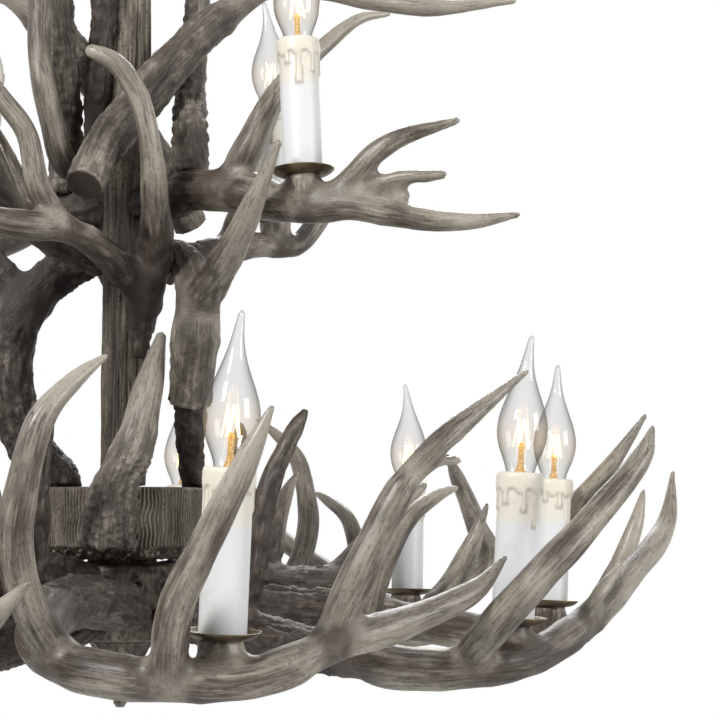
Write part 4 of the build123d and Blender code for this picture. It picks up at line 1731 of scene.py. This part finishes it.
@dataclass
class Core:
    """The barky column, the furrowed collar with its burr rim, the hub and the tail.

    Attributes:
        layout: Where things are.
        finishes: The materials.
        furrows: Furrows round the collar.
        seed: What places the pearls on its rim.
        knots: Bearing, height over the hub's middle and size in millimetres of knot holes.
        column_turn: Radius at which the column's grain is read.
        collar_turn: Radius at which the collar's furrows are read.
        hub_turn: Radius at which the hub's bark is read.
    """

    layout: Layout
    finishes: FinishSet
    furrows: int = 124
    seed: int = 11
    knots: tuple[tuple[float, float, float], ...] = (
        (-42.0, 11.0, 7.5),
        (-108.0, -9.0, 6.0),
        (-75.0, 14.0, 4.5),
        (35.0, 4.0, 7.0),
        (120.0, -6.0, 6.5),
        (195.0, 9.0, 7.0),
    )
    column_turn: float = 0.017
    collar_turn: float = 0.062
    hub_turn: float = 0.044

    def _column_relief(self, angle: Array, height: Array) -> tuple[Array, Array]:
        """Raise a strong upright grain with knots.

        Args:
            angle: Bearing of each point.
            height: Height of each point.

        Returns:
            How far each point is raised, and how deep it lies in a hollow.
        """
        place = on_cylinder(angle, height, self.column_turn)
        long = noise_at(place * np.array([260.0, 260.0, 9.0]), 2)
        fine = noise_at(place * np.array([620.0, 620.0, 22.0]) + 17.0)
        lump = noise_at(place * np.array([60.0, 60.0, 22.0]) + 41.0)
        raised = -3.0 * np.abs(long) - 0.9 * np.abs(fine) + 1.0 * lump + 1.1
        # Painted shade in the grooves of the grain.
        hollow = np.clip(2.0 * np.abs(long) + 0.7 * np.abs(fine) - 0.4 * lump - 0.32, 0, 1)
        return np.minimum(raised, 1.4) * MM, hollow

    def _collar_relief(self, angle: Array, height: Array) -> tuple[Array, Array]:
        """Raise close upright furrows that waver, over a lumpy burr rim at the foot.

        Args:
            angle: Bearing of each point.
            height: Height of each point.

        Returns:
            How far each point is raised, and how deep it lies in a hollow.
        """
        place = on_cylinder(angle, height, self.collar_turn)
        waver = noise_at(place * np.array([38.0, 38.0, 60.0])) * 2.6
        waver += noise_at(place * np.array([110.0, 110.0, 120.0]) + 9.0) * 0.9
        depth = 0.65 + 0.5 * noise_at(place * np.array([70.0, 70.0, 45.0]) + 23.0)
        wave = 0.5 - 0.5 * np.cos(angle * self.furrows + waver * 2.0)
        wave = wave**1.2 * np.clip(depth, 0.35, 1.1)
        low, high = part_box("burr_collar")
        rim = 1 - smoothstep(low.z + 7 * MM, low.z + 12 * MM, height)
        top = smoothstep(high.z - 3 * MM, high.z - 0.5 * MM, height)
        lumps = noise_at(place * 130.0 + 71.0, 3)
        raised = -1.9 * wave * (1 - rim) * (1 - top) + rim * lumps * 2.6 - 0.1
        # Painted shade in the furrows and in the low places of the burr rim.
        hollow = np.clip(wave * 1.5 * (1 - rim) + rim * (0.62 - lumps), 0, 1)
        return np.minimum(raised, 1.6) * MM, hollow * (1 - 0.6 * top)

    def _hub_relief(self, angle: Array, height: Array) -> tuple[Array, Array]:
        """Raise coarse bark with deep furrows and knot holes.

        Args:
            angle: Bearing of each point.
            height: Height of each point.

        Returns:
            How far each point is raised, and how deep it lies in a hollow.
        """
        place = on_cylinder(angle, height, self.hub_turn)
        long = noise_at(place * np.array([95.0, 95.0, 40.0]), 3)
        lump = noise_at(place * 48.0 + 13.0)
        fine = noise_at(place * 260.0 + 5.0, 2)
        raised = -4.2 * np.abs(long) + 2.4 * lump + 0.7 * fine + 0.2
        # Painted shade in the bark furrows and, below, in the knot holes.
        hollow = np.clip(0.1 + 1.6 * np.abs(long) - 0.8 * lump - 0.4 * fine, 0, 1)
        for bearing, level, size in self.knots:
            turn = (angle - math.radians(bearing) + math.pi) % (2 * math.pi) - math.pi
            off = np.hypot(turn * 44 * MM, height - self.layout.hub_middle - level * MM) / MM
            raised = raised + 3.0 * np.exp(-(((off - size) / 2.4) ** 2))
            pit = 1 - smoothstep(size * 0.35, size * 0.85, off)
            raised, hollow = raised - 3.2 * pit, np.maximum(hollow * (off > size), pit)
        return np.minimum(raised, 2.2) * MM, hollow

    def build(self) -> None:
        """Make the core from the column's top to the finial."""
        low, high, r = self._measured("column_sleeve")
        rows = outlined(r, (low, (0.6, 0), (1, 1)), (high, (1, -1), (0.5, 0)))
        column = BarkTurning(rows, 150, 2.4 * MM, self._column_relief)
        self._place(column, "column_bark", "column_sleeve")
        low, high, r = self._measured("burr_collar")
        levels = (low, (0.62, 0), (0.78, 2), (0.9, 7.5), (0.985, 10))
        rows = outlined(r, levels, (high, (0.99, -2.5), (0.95, -0.6), (0.3, 0)))
        collar = BarkTurning(rows, self.furrows * 6, 1.5 * MM, self._collar_relief)
        self._place(collar, "collar_furrows", "burr_collar")
        self._pearls(low, r)
        low, high, r = self._measured("hub")
        shoulder = self.layout.hub_middle + 29 * MM
        levels = (shoulder, (1, -7), (0.9, -1), (0.6, 1))
        rows = outlined(r, (low, (0.7, 0), (0.93, 2), (1, 9)), levels, (high, (0.58, 0)))
        self._place(BarkTurning(rows, 200, 1.4 * MM, self._hub_relief), "hub_bark", "hub")
        low, high, r = self._measured("tail_cap")
        rows = outlined(r, (low, (0.45, 0), (0.62, 5)), (high, (0.98, 0)))
        self._place(BarkTurning(rows, 72, 1.6 * MM, self._hub_relief), "tail_bark", "tail_cap")
        low, high, r = self._measured("finial")
        rows = outlined(r, (low, (0.2, 0), (0.42, 3), (0.5, 14)), (high, (0.8, -6), (0.96, 0)))
        finial = BarkTurning(rows, 48, 1.2 * MM, self._column_relief, roughness=0.2)
        self._place(finial, "finial_tip", "finial", "pale_antler")

    def _measured(self, node: str) -> tuple[float, float, float]:
        """Measure a round upright solid.

        Args:
            node: Name of the solid.

        Returns:
            Its foot, its top and its radius.
        """
        low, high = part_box(node)
        return low.z, high.z, (high.x - low.x) / 2

    def _place(
        self, form: BarkTurning, name: str, node: str, finish: str = "column_bark"
    ) -> None:
        """Build a turned form and let it stand for its solid.

        Args:
            form: The turned form.
            name: Name of the piece.
            node: Name of the solid.
            finish: Name of its finish.
        """
        mesh = form.build(name)
        finish_piece(name, mesh, self.finishes[finish], "fixture", [node])

    def _pearls(self, foot: float, radius: float) -> None:
        """Scatter pearls on the collar's rim.

        Args:
            foot: Height of the collar's foot.
            radius: The collar's radius.
        """
        bark = self.finishes["column_bark"]
        rows = outlined(radius, (foot, (0.72, 1.5), (0.86, 5), (0.94, 9)))
        holder = new_object("rim_pearls", lathe("rim_band", rows, 96))
        sizes = {"Count": 2.2e4, "Pearl Size": 2.6 * MM, "Seed": self.seed}
        pearls = run_tree(holder, pearl_scatter(bark), sizes)
        pearls.name = "rim_pearls"
        places = coordinates(pearls)
        paint(pearls, "straight", places)
        paint(pearls, "bark", np.ones(len(places)))
        # Darkens the pearls in random patches.
        paint(pearls, "hollow", np.clip(0.35 + 0.5 * noise_at(places * 160.0), 0, 1))
        paint(pearls, "clear", np.ones(len(places)))
        pearls.shade_smooth()
        finish_piece("rim_pearls", pearls, bark, "fixture")


# ---- geometry nodes ----
def run_tree(holder: bpy.types.Object, tree: NodeTree, sizes: dict[str, object]) -> Mesh:
    """Run a Geometry Nodes tree on an object and delete the object.

    Args:
        holder: The object.
        tree: The tree.
        sizes: Values of the tree's inputs, by label.

    Returns:
        The mesh that comes out.

    Raises:
        KeyError: The tree has no input of a label.
    """
    modifier = holder.modifiers.new(tree.name, "NODES")
    modifier.node_group = tree
    sockets = {
        item.name: item.identifier
        for item in tree.interface.items_tree
        if item.item_type == "SOCKET" and item.in_out == "INPUT"
    }
    for label, value in sizes.items():
        modifier[sockets[label]] = value
    return evaluated(holder)


class GeometryTree(NodeBoard):
    """The board of one Geometry Nodes tree."""

    def __init__(self, name: str, inputs: Sequence[tuple[str, str, object]]) -> None:
        """Start a tree with a geometry input and the given sizes.

        Args:
            name: Name of the tree.
            inputs: Label, kind and default of each size.
        """
        super().__init__(bpy.data.node_groups.new(name, "GeometryNodeTree"))
        face = self.tree.interface
        face.new_socket("Geometry", in_out="INPUT", socket_type="NodeSocketGeometry")
        for label, kind, default in inputs:
            made = face.new_socket(label, in_out="INPUT", socket_type=f"NodeSocket{kind}")
            made.default_value = default
        face.new_socket("Geometry", in_out="OUTPUT", socket_type="NodeSocketGeometry")
        self.source = self.add("NodeGroupInput")
        self.sink = self.add("NodeGroupOutput")

    def finish(self, geometry: Socket, material: bpy.types.Material) -> NodeTree:
        """Realize the result, give it its material and close the tree.

        Args:
            geometry: The result.
            material: Its finish.

        Returns:
            The closed tree.
        """
        real = self.add("GeometryNodeRealizeInstances", {"Geometry": geometry}).outputs[0]
        values = {"Geometry": real, "Material": material}
        self.feed(self.sink.inputs[0], self.add("GeometryNodeSetMaterial", values).outputs[0])
        return self.tree


def pearl_scatter(material: bpy.types.Material) -> NodeTree:
    """Build the tree that scatters small round pearls over a surface.

    Args:
        material: Finish of the pearls.

    Returns:
        The tree, with inputs Count, Pearl Size and Seed.
    """
    inputs = [("Count", "Float", 1e4), ("Pearl Size", "Float", 0.002), ("Seed", "Int", 1)]
    tree = GeometryTree("pearl_scatter", inputs)
    surface, count, radius, seed = tree.source.outputs[:4]
    points = tree.add(
        "GeometryNodeDistributePointsOnFaces", {"Mesh": surface, "Density": count, "Seed": seed}
    )
    pearl = tree.add("GeometryNodeMeshIcoSphere", {"Radius": radius, "Subdivisions": 2})
    sizes = tree.add(
        "FunctionNodeRandomValue", {2: 0.45, 3: 1.0, "Seed": seed}, data_type="FLOAT"
    )
    values = {"Points": points.outputs[0], "Instance": pearl.outputs[0]}
    placed = tree.add("GeometryNodeInstanceOnPoints", values | {"Scale": sizes.outputs[1]})
    return tree.finish(placed.outputs[0], material)


def link_maker(material: bpy.types.Material) -> NodeTree:
    """Build the tree that bends round wire into a chain link.

    Args:
        material: Finish of the link.

    Returns:
        The tree, with inputs Width, Length, Bend and Wire Radius.
    """
    inputs = [("Width", "Float", 0.02), ("Length", "Float", 0.04)]
    inputs += [("Bend", "Float", 0.009), ("Wire Radius", "Float", 0.002)]
    tree = GeometryTree("link_maker", inputs)
    width, length, bend, wire = tree.source.outputs[1:5]
    values = {"Width": width, "Height": length}
    loop = tree.add("GeometryNodeCurvePrimitiveQuadrilateral", values).outputs[0]
    values = {"Curve": loop, "Radius": bend, "Count": 14}
    rounded = tree.add("GeometryNodeFilletCurve", values, mode="POLY").outputs[0]
    values = {"Resolution": 20, "Radius": wire}
    section = tree.add("GeometryNodeCurvePrimitiveCircle", values).outputs[0]
    values = {"Curve": rounded, "Profile Curve": section}
    return tree.finish(tree.add("GeometryNodeCurveToMesh", values).outputs[0], material)


def knurl_ring(material: bpy.types.Material) -> NodeTree:
    """Build the tree that sets small ribs round a ring.

    Args:
        material: Finish of the ribs.

    Returns:
        The tree, with inputs Ribs, Ring Radius, Rib Radius and Rib Height.
    """
    inputs = [("Ribs", "Int", 60), ("Ring Radius", "Float", 0.02)]
    inputs += [("Rib Radius", "Float", 0.001), ("Rib Height", "Float", 0.004)]
    tree = GeometryTree("knurl_ring", inputs)
    ring, ribs, reach, radius, height = tree.source.outputs[:5]
    values = {"Resolution": ribs, "Radius": reach}
    circle = tree.add("GeometryNodeCurvePrimitiveCircle", values).outputs[0]
    points = tree.add("GeometryNodeCurveToPoints", {"Curve": circle}, mode="EVALUATED")
    values = {"Vertices": 8, "Radius": radius, "Depth": height}
    rib = tree.add("GeometryNodeMeshCylinder", values)
    values = {"Points": points.outputs[0], "Instance": rib.outputs[0]}
    placed = tree.add("GeometryNodeInstanceOnPoints", values)
    both = tree.add("GeometryNodeJoinGeometry")
    tree.feed(both.inputs[0], placed.outputs[0])
    tree.feed(both.inputs[0], ring)
    return tree.finish(both.outputs[0], material)


# ---- candle lamps ----
@dataclass
class CandleLamps:
    """Thirteen candle lamps: drip pan, waxed sleeve, holder and bulb."""

    layout: Layout
    finishes: FinishSet
    pan_radius: float = 23.0 * MM
    sleeve_radius: float = 14.5 * MM
    sleeve_height: float = 101.0 * MM
    bulb_height: float = 93.0 * MM
    drips: int = 8
    seed: int = 5

    def _pan(self) -> Mesh:
        """Turn a shallow dish with a rolled rim, on its seat.

        Returns:
            Its mesh.
        """
        r = self.pan_radius / MM
        rows = [(5.2, 0.05), (14.2, 0.05), (17.5, 0.9), (20.5, 2.4), (22.3, 4.0), (r, 4.7)]
        rows += [(r - 0.15, 5.15), (r - 0.7, 5.3), (r - 1.3, 4.9), (20.0, 3.2), (17.0, 1.9)]
        rows += [(14.0, 1.35), (5.2, 1.3)]
        return lathe("pan", [(x * MM, z * MM) for x, z in rows], 56, closed=True)

    def _waxed(self, angle: Array, down: Array, generator: np.random.Generator) -> Array:
        """Run wax down a sleeve from a scalloped edge.

        Args:
            angle: Bearing of each point.
            down: Depth of each point under the sleeve's top.
            generator: Where the random draws come from.

        Returns:
            How thick the wax is, from 0 to 1.
        """
        scallop = 11.5 * MM + 1.8 * MM * np.cos(angle * self.drips + generator.uniform(0, 6))
        wax = np.maximum(np.zeros_like(down), 1 - smoothstep(0.0, 2.2 * MM, down - scallop))
        for index in range(self.drips):
            centre = (index + generator.uniform(-0.25, 0.25)) * 2 * math.pi / self.drips
            length = generator.uniform(14, 38) * MM
            width = generator.uniform(2.0, 3.1) * MM
            off = (angle - centre + math.pi) % (2 * math.pi) - math.pi
            side = np.abs(off) * self.sleeve_radius
            swell = 0.72 + 0.5 * np.clip(down / length, 0, 1) ** 3
            body = 1 - (side / (width * swell)) ** 2
            end = 1 - smoothstep(-1.5 * MM, 1.5 * MM, down - length)
            wax = np.maximum(wax, np.clip(body, 0, 1) ** 0.6 * end)
        return wax

    def _sleeve(self, generator: np.random.Generator) -> Mesh:
        """Make a tube with a plain top band, a scalloped edge and runs of wax.

        Args:
            generator: Where the random draws come from.

        Returns:
            Its mesh, with the wax and its outline painted.
        """
        columns, rows = 84, 72
        height, foot = self.sleeve_height, 1.6 * MM
        angles = bearings(columns)
        angle, level = np.meshgrid(angles, np.linspace(foot, height, rows))
        down = height - level
        wax = self._waxed(angle, down, generator)
        band = 1 - smoothstep(0.0, 1.0 * MM, np.abs(down - 6.5 * MM) - 4.2 * MM)
        lip = smoothstep(0.0, 1.2 * MM, 1.4 * MM - down)
        thick = 1.25 * wax + 0.4 * band - 0.4 * lip
        radius = self.sleeve_radius + (thick - 0.15) * MM
        inner = self.sleeve_radius - 1.8 * MM
        outside = np.stack([radius * np.cos(angle), radius * np.sin(angle), level], -1)
        levels = (height - 0.3 * MM, height - 12 * MM, foot)
        walls = [on_cylinder(angles, np.full(columns, z), inner) for z in levels]
        points = np.vstack([outside.reshape(-1, 3), *walls])
        mesh = mesh_from("sleeve", points, grid_faces(rows + len(walls), columns, looped=True))
        cream = np.clip(1 - smoothstep(26 * MM, 44 * MM, down), 0, 1)
        tint = np.maximum(wax, 0.75 * cream)
        # The outline mask is where the shader paints shade along the drip edges.
        outline = 4 * np.clip(wax, 0, 1) * (1 - np.clip(wax, 0, 1)) * (down > 8 * MM)
        paint(mesh, "outline", np.r_[outline.ravel(), np.zeros(columns * len(walls))])
        paint(mesh, "wax", np.r_[tint.ravel(), np.full(columns * len(walls), 0.6)])
        return mesh

    def _bulb_profile(self, count: int) -> tuple[Array, Array, Array]:
        """Draw the outline of a flame-shaped bulb from its neck up.

        Args:
            count: How many rings it has.

        Returns:
            Radius, height and sideways lean of each ring.
        """
        share = np.linspace(0, 1, count)
        knots = [0.0, 0.09, 0.16, 0.25, 0.35, 0.45, 0.55, 0.65, 0.74, 0.83, 0.92, 1.0]
        radii = [9.2, 9.3, 11.6, 15.6, 17.4, 16.4, 13.2, 9.2, 6.0, 3.9, 2.6, 1.6]
        radius = np.interp(share, knots, radii)
        for _ in range(4):
            radius[1:-1] = np.convolve(radius, np.array([0.25, 0.5, 0.25]), "valid")
        radius *= np.sqrt(np.clip((1 - share) / 0.02, 0.03, 1))
        lean = 4.6 * np.clip((share - 0.6) / 0.4, 0, 1) ** 1.7
        foot = self.layout.holder_height + 0.2 * MM
        height = foot + share * (self.sleeve_height + self.bulb_height - foot - 0.5 * MM)
        return radius * MM, height, lean * MM

    def _bulb(self) -> Mesh:
        """Make the glass envelope.

        Returns:
            Its mesh, with its nearness to the filament painted.
        """
        columns, rows = 40, 44
        radius, height, lean = self._bulb_profile(rows)
        rings = [
            on_cylinder(bearings(columns), np.full(columns, z), r) + (x, 0, 0)
            for r, z, x in zip(radius, height, lean)
        ]
        poles = np.array([[0, 0, height[0]], [lean[-1], 0, height[-1]]])
        cloud = np.vstack([*rings, poles])
        mesh = mesh_from("bulb_glass", cloud, grid_faces(rows, columns))
        # The near mask places the painted glow on the glass round the filament.
        rise = cloud[:, 2] - self.layout.holder_height - 34 * MM
        paint(mesh, "near", np.exp(-((rise / (13 * MM)) ** 2)))
        return mesh

    def _core(self) -> Mesh:
        """Make the gilded stem with its lit filament, bent to and fro round it.

        Returns:
            Its mesh, with its glow painted.
        """
        foot = self.layout.holder_height + 2 * MM
        stem = [(5.0, 0), (5.4, 3), (3.6, 8), (2.2, 12), (1.8, 20), (2.3, 25), (1.0, 27)]
        forms = [lathe("stem", [(r * MM, foot + z * MM) for r, z in stem], 20)]
        # The stem gets a faint painted glow, a fortieth of the filament's.
        paint(forms[0], "lit", np.full(len(forms[0].vertices), 0.025))
        turns, stops = 5, []
        for index in range(turns * 2 + 1):
            bearing = index * math.pi / turns
            reach, rise = ((5.8, 24.0), (3.2, 43.0))[index % 2]
            across, beside = reach * math.cos(bearing) * MM, reach * math.sin(bearing) * MM
            stops.append(Vector((across, beside, foot + rise * MM)))
        thin, thick = 0.38 * MM, 0.42 * MM
        for start, end in zip(stops[:-1], stops[1:]):
            axis = end - start
            rows = [(thin, 0.0), (thick, axis.length / 2), (thin, axis.length)]
            wire = lathe("wire", rows, 6)
            wire.transform(Matrix.Translation(start) @ upright_to(axis))
            paint(wire, "lit", np.ones(len(wire.vertices)))
            forms.append(wire)
        return joined("bulb_core", forms)

    def _cap(self) -> Mesh:
        """Turn the screw cap that sits in the holder.

        Returns:
            Its mesh.
        """
        top = self.layout.holder_height / MM
        rows = [(2.2, top - 19.0), (4.5, top - 18.4), (6.0, top - 16.5)]
        for turn in range(4):
            base = top - 15.5 + turn * 2.9
            rows += [(6.25, base), (6.72, base + 0.9), (6.72, base + 1.5), (6.25, base + 2.4)]
        rows += [(6.4, top - 2.6), (6.6, top - 0.4), (9.2, top + 0.1), (9.3, top + 0.5)]
        rows += [(4, top + 0.6)]
        return lathe("bulb_cap", [(x * MM, z * MM) for x, z in rows], 40)

    def build(self) -> None:
        """Make every candle lamp."""
        generator = np.random.default_rng(self.seed)
        pan = self._pan()
        inside = (
            ("glass", self._bulb(), "clear_glass"),
            ("filament", self._core(), "filament_glow"),
            ("cap", self._cap(), "cap_brass"),
        )
        pans, sleeves = [], []
        for number, seat in enumerate(self.layout.seats, start=1):
            pans.append(moved(pan.copy(), seat))
            sleeves.append(moved(self._sleeve(generator), seat))
            spin = Matrix.Rotation(generator.uniform(0, 2 * math.pi), 4, "Z")
            for label, form, finish in inside:
                finish_piece(
                    f"bulb_{label}_{number}",
                    moved(form.copy(), seat @ spin),
                    self.finishes[finish],
                    f"bulb_{number}",
                    [f"bulb_{number}"] if label == "glass" else [],
                )
        for name, forms, finish, slot, node in (
            ("drip_pan_set", pans, "pan_bronze", Slot.PAN, "drip_pans"),
            ("candle_sleeve_set", sleeves, "candle_wax", Slot.WAX, "candle_sleeves"),
        ):
            mesh = joined(name, forms)
            finish_piece(name, mesh, self.finishes[finish], "fixture", [node])


# ---- chain and canopy ----
@dataclass
class Suspension:
    """Ceiling canopy, loops and chain."""

    finishes: FinishSet
    wire: float = 4.5 * MM
    loop_wire: float = 5.0 * MM
    knurls: int = 72

    def _place(self, name: str, mesh: Mesh, body: str, node: str) -> None:
        """Let a bronze mesh stand for its solid.

        Args:
            name: Name of the piece.
            mesh: Its mesh, already in place.
            body: The body that it rides on.
            node: Name of the solid.
        """
        finish_piece(name, mesh, self.finishes["dark_bronze"], body, [node])

    def _wire_loop(self, width: float, length: float, wire: float) -> Mesh:
        """Bend a loop of wire with round ends in the XZ plane.

        Args:
            width: Its width over the centre line.
            length: Its length over the centre line.
            wire: Thickness of the wire.

        Returns:
            Its mesh.
        """
        holder = new_object("loop_seed", mesh_from("seed", np.zeros((1, 3)), []))
        sizes = {"Width": width, "Length": length, "Bend": width / 2 * 0.999}
        sizes["Wire Radius"] = wire / 2
        mesh = run_tree(holder, link_maker(self.finishes["dark_bronze"]), sizes)
        mesh.transform(Matrix.Rotation(math.radians(90), 4, "X"))
        mesh.shade_smooth()
        return mesh

    def build(self) -> None:
        """Make the chain, the loops, the canopy and its nut."""
        for number in (1, 2, 3):
            node = f"chain_link_{number}"
            low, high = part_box(node)
            wide = max(high.x - low.x, high.y - low.y) - self.wire
            link = self._wire_loop(wide, high.z - low.z - self.wire, self.wire)
            if high.y - low.y > high.x - low.x:
                link.transform(Matrix.Rotation(math.radians(90), 4, "Z"))
            link.transform(Matrix.Translation((low + high) / 2))
            self._place(f"forged_link_{number}", link, f"link_{number}", node)
        self._top_loop()
        self._canopy_loop()
        self._canopy()
        self._nut()
        for node, finish in (
            ("ceiling_strap", "plated_steel"),
            ("stud_locknut", "plated_steel"),
            ("centre_pipe", "plated_steel"),
            ("pipe_locknut", "dark_bronze"),
            ("lampholders", "holder_white"),
        ):
            solid = bpy.data.objects[node]
            solid.data.materials.clear()
            solid.data.materials.append(self.finishes[finish])

    def _eye(self, centre: float) -> Mesh:
        """Bend a round eye of loop wire.

        Args:
            centre: Height of its centre.

        Returns:
            Its mesh.
        """
        across = 2 * (9.0 * MM + self.loop_wire / 2)
        eye = self._wire_loop(across, across, self.loop_wire)
        return moved(eye, Matrix.Translation((0, 0, centre)))

    def _top_loop(self) -> None:
        """Make the loop on the pipe with its turned stem."""
        low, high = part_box("top_loop")
        centre = high.z - 14.0 * MM
        stem = (low.z, (0.97, 0), (1, 2), (1, 10), (0.8, 13))
        neck = (centre - 11.5 * MM, (0.74, -16), (0.95, -12), (0.98, -8), (0.8, -3), (0.42, 0))
        rows = outlined((high.y - low.y) / 2, stem, neck)
        loop = joined("top_loop_turned", [lathe("stem", rows, 40), self._eye(centre)])
        self._place("top_loop_turned", loop, "fixture", "top_loop")

    def _canopy_loop(self) -> None:
        """Make the threaded collar, its stud and its eye."""
        low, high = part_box("canopy_loop")
        centre = low.z + 14.0 * MM
        seat = centre + 11.5 * MM
        rows = [(13.4, 0), (14.4, 0.8)]
        rows += [(14.45 - 0.35 * (k % 2), 1.6 + k * 0.75) for k in range(15)]
        rows += [(14.2, 13.6), (4.7, 14.0), (4.7, 14.0)]
        rows += [(4.7 - 0.4 * (k % 2), 14.5 + k * 0.7) for k in range(44)]
        profile = [(r * MM, min(seat + z * MM, high.z)) for r, z in rows]
        loop = joined("canopy_loop_turned", [lathe("collar", profile, 40), self._eye(centre)])
        self._place("canopy_loop_turned", loop, "ceiling_plate", "canopy_loop")

    def _canopy(self) -> None:
        """Make the domed canopy with a beaded rim."""
        low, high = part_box("canopy")
        rim, floor, top = (high.x - low.x) / 2, low.z, high.z
        hole, sheet, steps = 14.9 * MM, 1.2 * MM, 14
        outer = [(hole, floor), (rim * 0.34, floor)]
        for k in range(steps + 1):
            turn = math.pi / 2 * k / steps
            reach = rim * 0.36 + (rim * 0.615) * math.sin(turn) ** 0.92
            outer.append((reach, floor + (top - floor - 5.5 * MM) * (1 - math.cos(turn))))
        outer += outlined(rim, (top, (0.955, -5), (0.99, -4.2), (1, -2.6), (0.99, -1), (0.96, 0)))
        inner = [(r - sheet, min(z + sheet, top)) for r, z in outer[2:-1]][::-1]
        inner = [(rim * 0.94, top)] + inner + [(hole, floor + sheet)]
        dome = lathe("canopy_dome", outer + inner, 96, closed=True)
        self._place("canopy_dome", dome, "canopy", "canopy")

    def _nut(self) -> None:
        """Make the knurled ring nut."""
        low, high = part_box("canopy_ring_nut")
        r, bore, middle = (high.x - low.x) / 2, 15.65 * MM, (low.z + high.z) / 2
        face = outlined(r, (low.z, (0.9, 0), (0.96, 1.2)), (high.z, (0.96, -0.8), (0.93, 0)))
        rows = [(bore, low.z), *face, (bore, high.z)]
        holder = new_object("nut_seed", lathe("nut_ring", rows, 72, closed=True))
        holder.data.transform(Matrix.Translation((0, 0, -middle)))
        sizes = {"Ribs": self.knurls, "Ring Radius": r * 0.96}
        sizes |= {"Rib Radius": 0.8 * MM, "Rib Height": 3.6 * MM}
        nut = run_tree(holder, knurl_ring(self.finishes["dark_bronze"]), sizes)
        nut.transform(Matrix.Translation((0, 0, middle)))
        self._place("ring_nut_knurled", nut, "ring_nut", "canopy_ring_nut")


# ---- studio ----
@dataclass
class Studio:
    """Pale floor, backdrop, soft lamps and the camera."""

    eye: Vector = field(default_factory=lambda: Vector((0.0, -1.357, -0.7633)))
    focal_px: float = 1732.0
    frame_px: float = 720.0
    pan_deg: float = 7.77
    tilt_deg: float = 5.09
    floor_height: float = -2.3

    def build(self) -> None:
        """Make the studio."""
        scene = bpy.context.scene
        scene.view_settings.view_transform = "Standard"
        self._world()
        self._floor()
        for name, place, size, power, level in (
            ("key", (-1.6, -1.9, 0.75), 0.7, 62.0, -0.7),
            ("fill", (2.1, -1.5, -0.2), 1.1, 27.0, -0.7),
            ("rim", (0.6, 2.2, 0.8), 1.2, 32.0, -0.6),
        ):
            lamp = bpy.data.lights.new(name, "AREA")
            lamp.size = size
            lamp.energy = power
            holder = bpy.data.objects.new(name, lamp)
            holder.location = place
            direction = Vector((0, 0, level)) - Vector(place)
            holder.rotation_euler = direction.to_track_quat("-Z", "Y").to_euler()
            scene.collection.objects.link(holder)
        self._camera()

    def _camera(self) -> None:
        """Stand the camera where the photograph was taken from."""
        camera = bpy.data.cameras.new("view")
        camera.sensor_width = 36.0
        camera.sensor_fit = "HORIZONTAL"
        camera.lens = self.focal_px / self.frame_px * camera.sensor_width
        holder = bpy.data.objects.new("view", camera)
        holder.location = self.eye
        pan, tilt = math.radians(self.pan_deg), math.radians(self.tilt_deg)
        forward = Vector(
            (math.sin(pan) * math.cos(tilt), math.cos(pan) * math.cos(tilt), math.sin(tilt))
        )
        holder.rotation_euler = forward.to_track_quat("-Z", "Y").to_euler()
        bpy.context.scene.collection.objects.link(holder)
        bpy.context.scene.camera = holder

    def _world(self) -> None:
        """Light the scene softly, with a near-white background to the camera."""
        world = bpy.data.worlds.new("studio")
        bpy.context.scene.world = world
        world.use_nodes = True
        world.node_tree.nodes.clear()
        board = NodeBoard(world.node_tree)
        path = board.add("ShaderNodeLightPath")
        seen = board.maths("MAXIMUM", path.outputs["Is Camera Ray"], path.outputs["Is Glossy Ray"])
        seen = board.maths("MAXIMUM", seen, path.outputs["Is Transmission Ray"])
        soft = board.add("ShaderNodeBackground", {"Color": (0.96, 0.98, 1.0), "Strength": 0.34})
        pale = board.add("ShaderNodeBackground", {"Color": (1.0, 1.0, 1.0), "Strength": 1.0})
        board.add("ShaderNodeOutputWorld", {"Surface": board.shaders(seen, soft, pale).outputs[0]})

    def _floor(self) -> None:
        """Lay a pale plain floor far below the light."""
        half = 6.0
        corners = [(-half, -half), (half, -half), (half, half), (-half, half)]
        points = np.array([(x, y, self.floor_height) for x, y in corners])
        floor = new_object("floor", mesh_from("floor", points, [[0, 1, 2, 3]], smooth=False))
        board = FinishBoard("pale_floor")
        board.dress("Base Color", (0.86, 0.86, 0.86))
        board.dress("Roughness", 0.8)
        path = board.add("ShaderNodeLightPath").outputs
        seen = board.maths("MAXIMUM", path["Is Camera Ray"], path["Is Transmission Ray"])
        pale = board.add("ShaderNodeEmission", {"Color": (1.0, 1.0, 1.0), "Strength": 1.0})
        mix = board.shaders(board.maths("MULTIPLY", seen, 0.8), board.shader, pale)
        board.feed(board.sink.inputs["Surface"], mix.outputs[0])
        floor.data.materials.append(board.material)


def main() -> None:
    """Dress the frame."""
    logging.basicConfig(level=logging.INFO, format="%(name)s %(message)s")
    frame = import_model()
    layout = Layout.from_frame(frame)
    finishes = FinishSet()
    LowerRing(layout, finishes).build()
    UpperTier(layout, finishes).build()
    ColumnTangle(layout, finishes).build()
    Core(layout, finishes).build()
    CandleLamps(layout, finishes).build()
    Suspension(finishes).build()
    Studio().build()


if __name__ == "__main__":
    main()
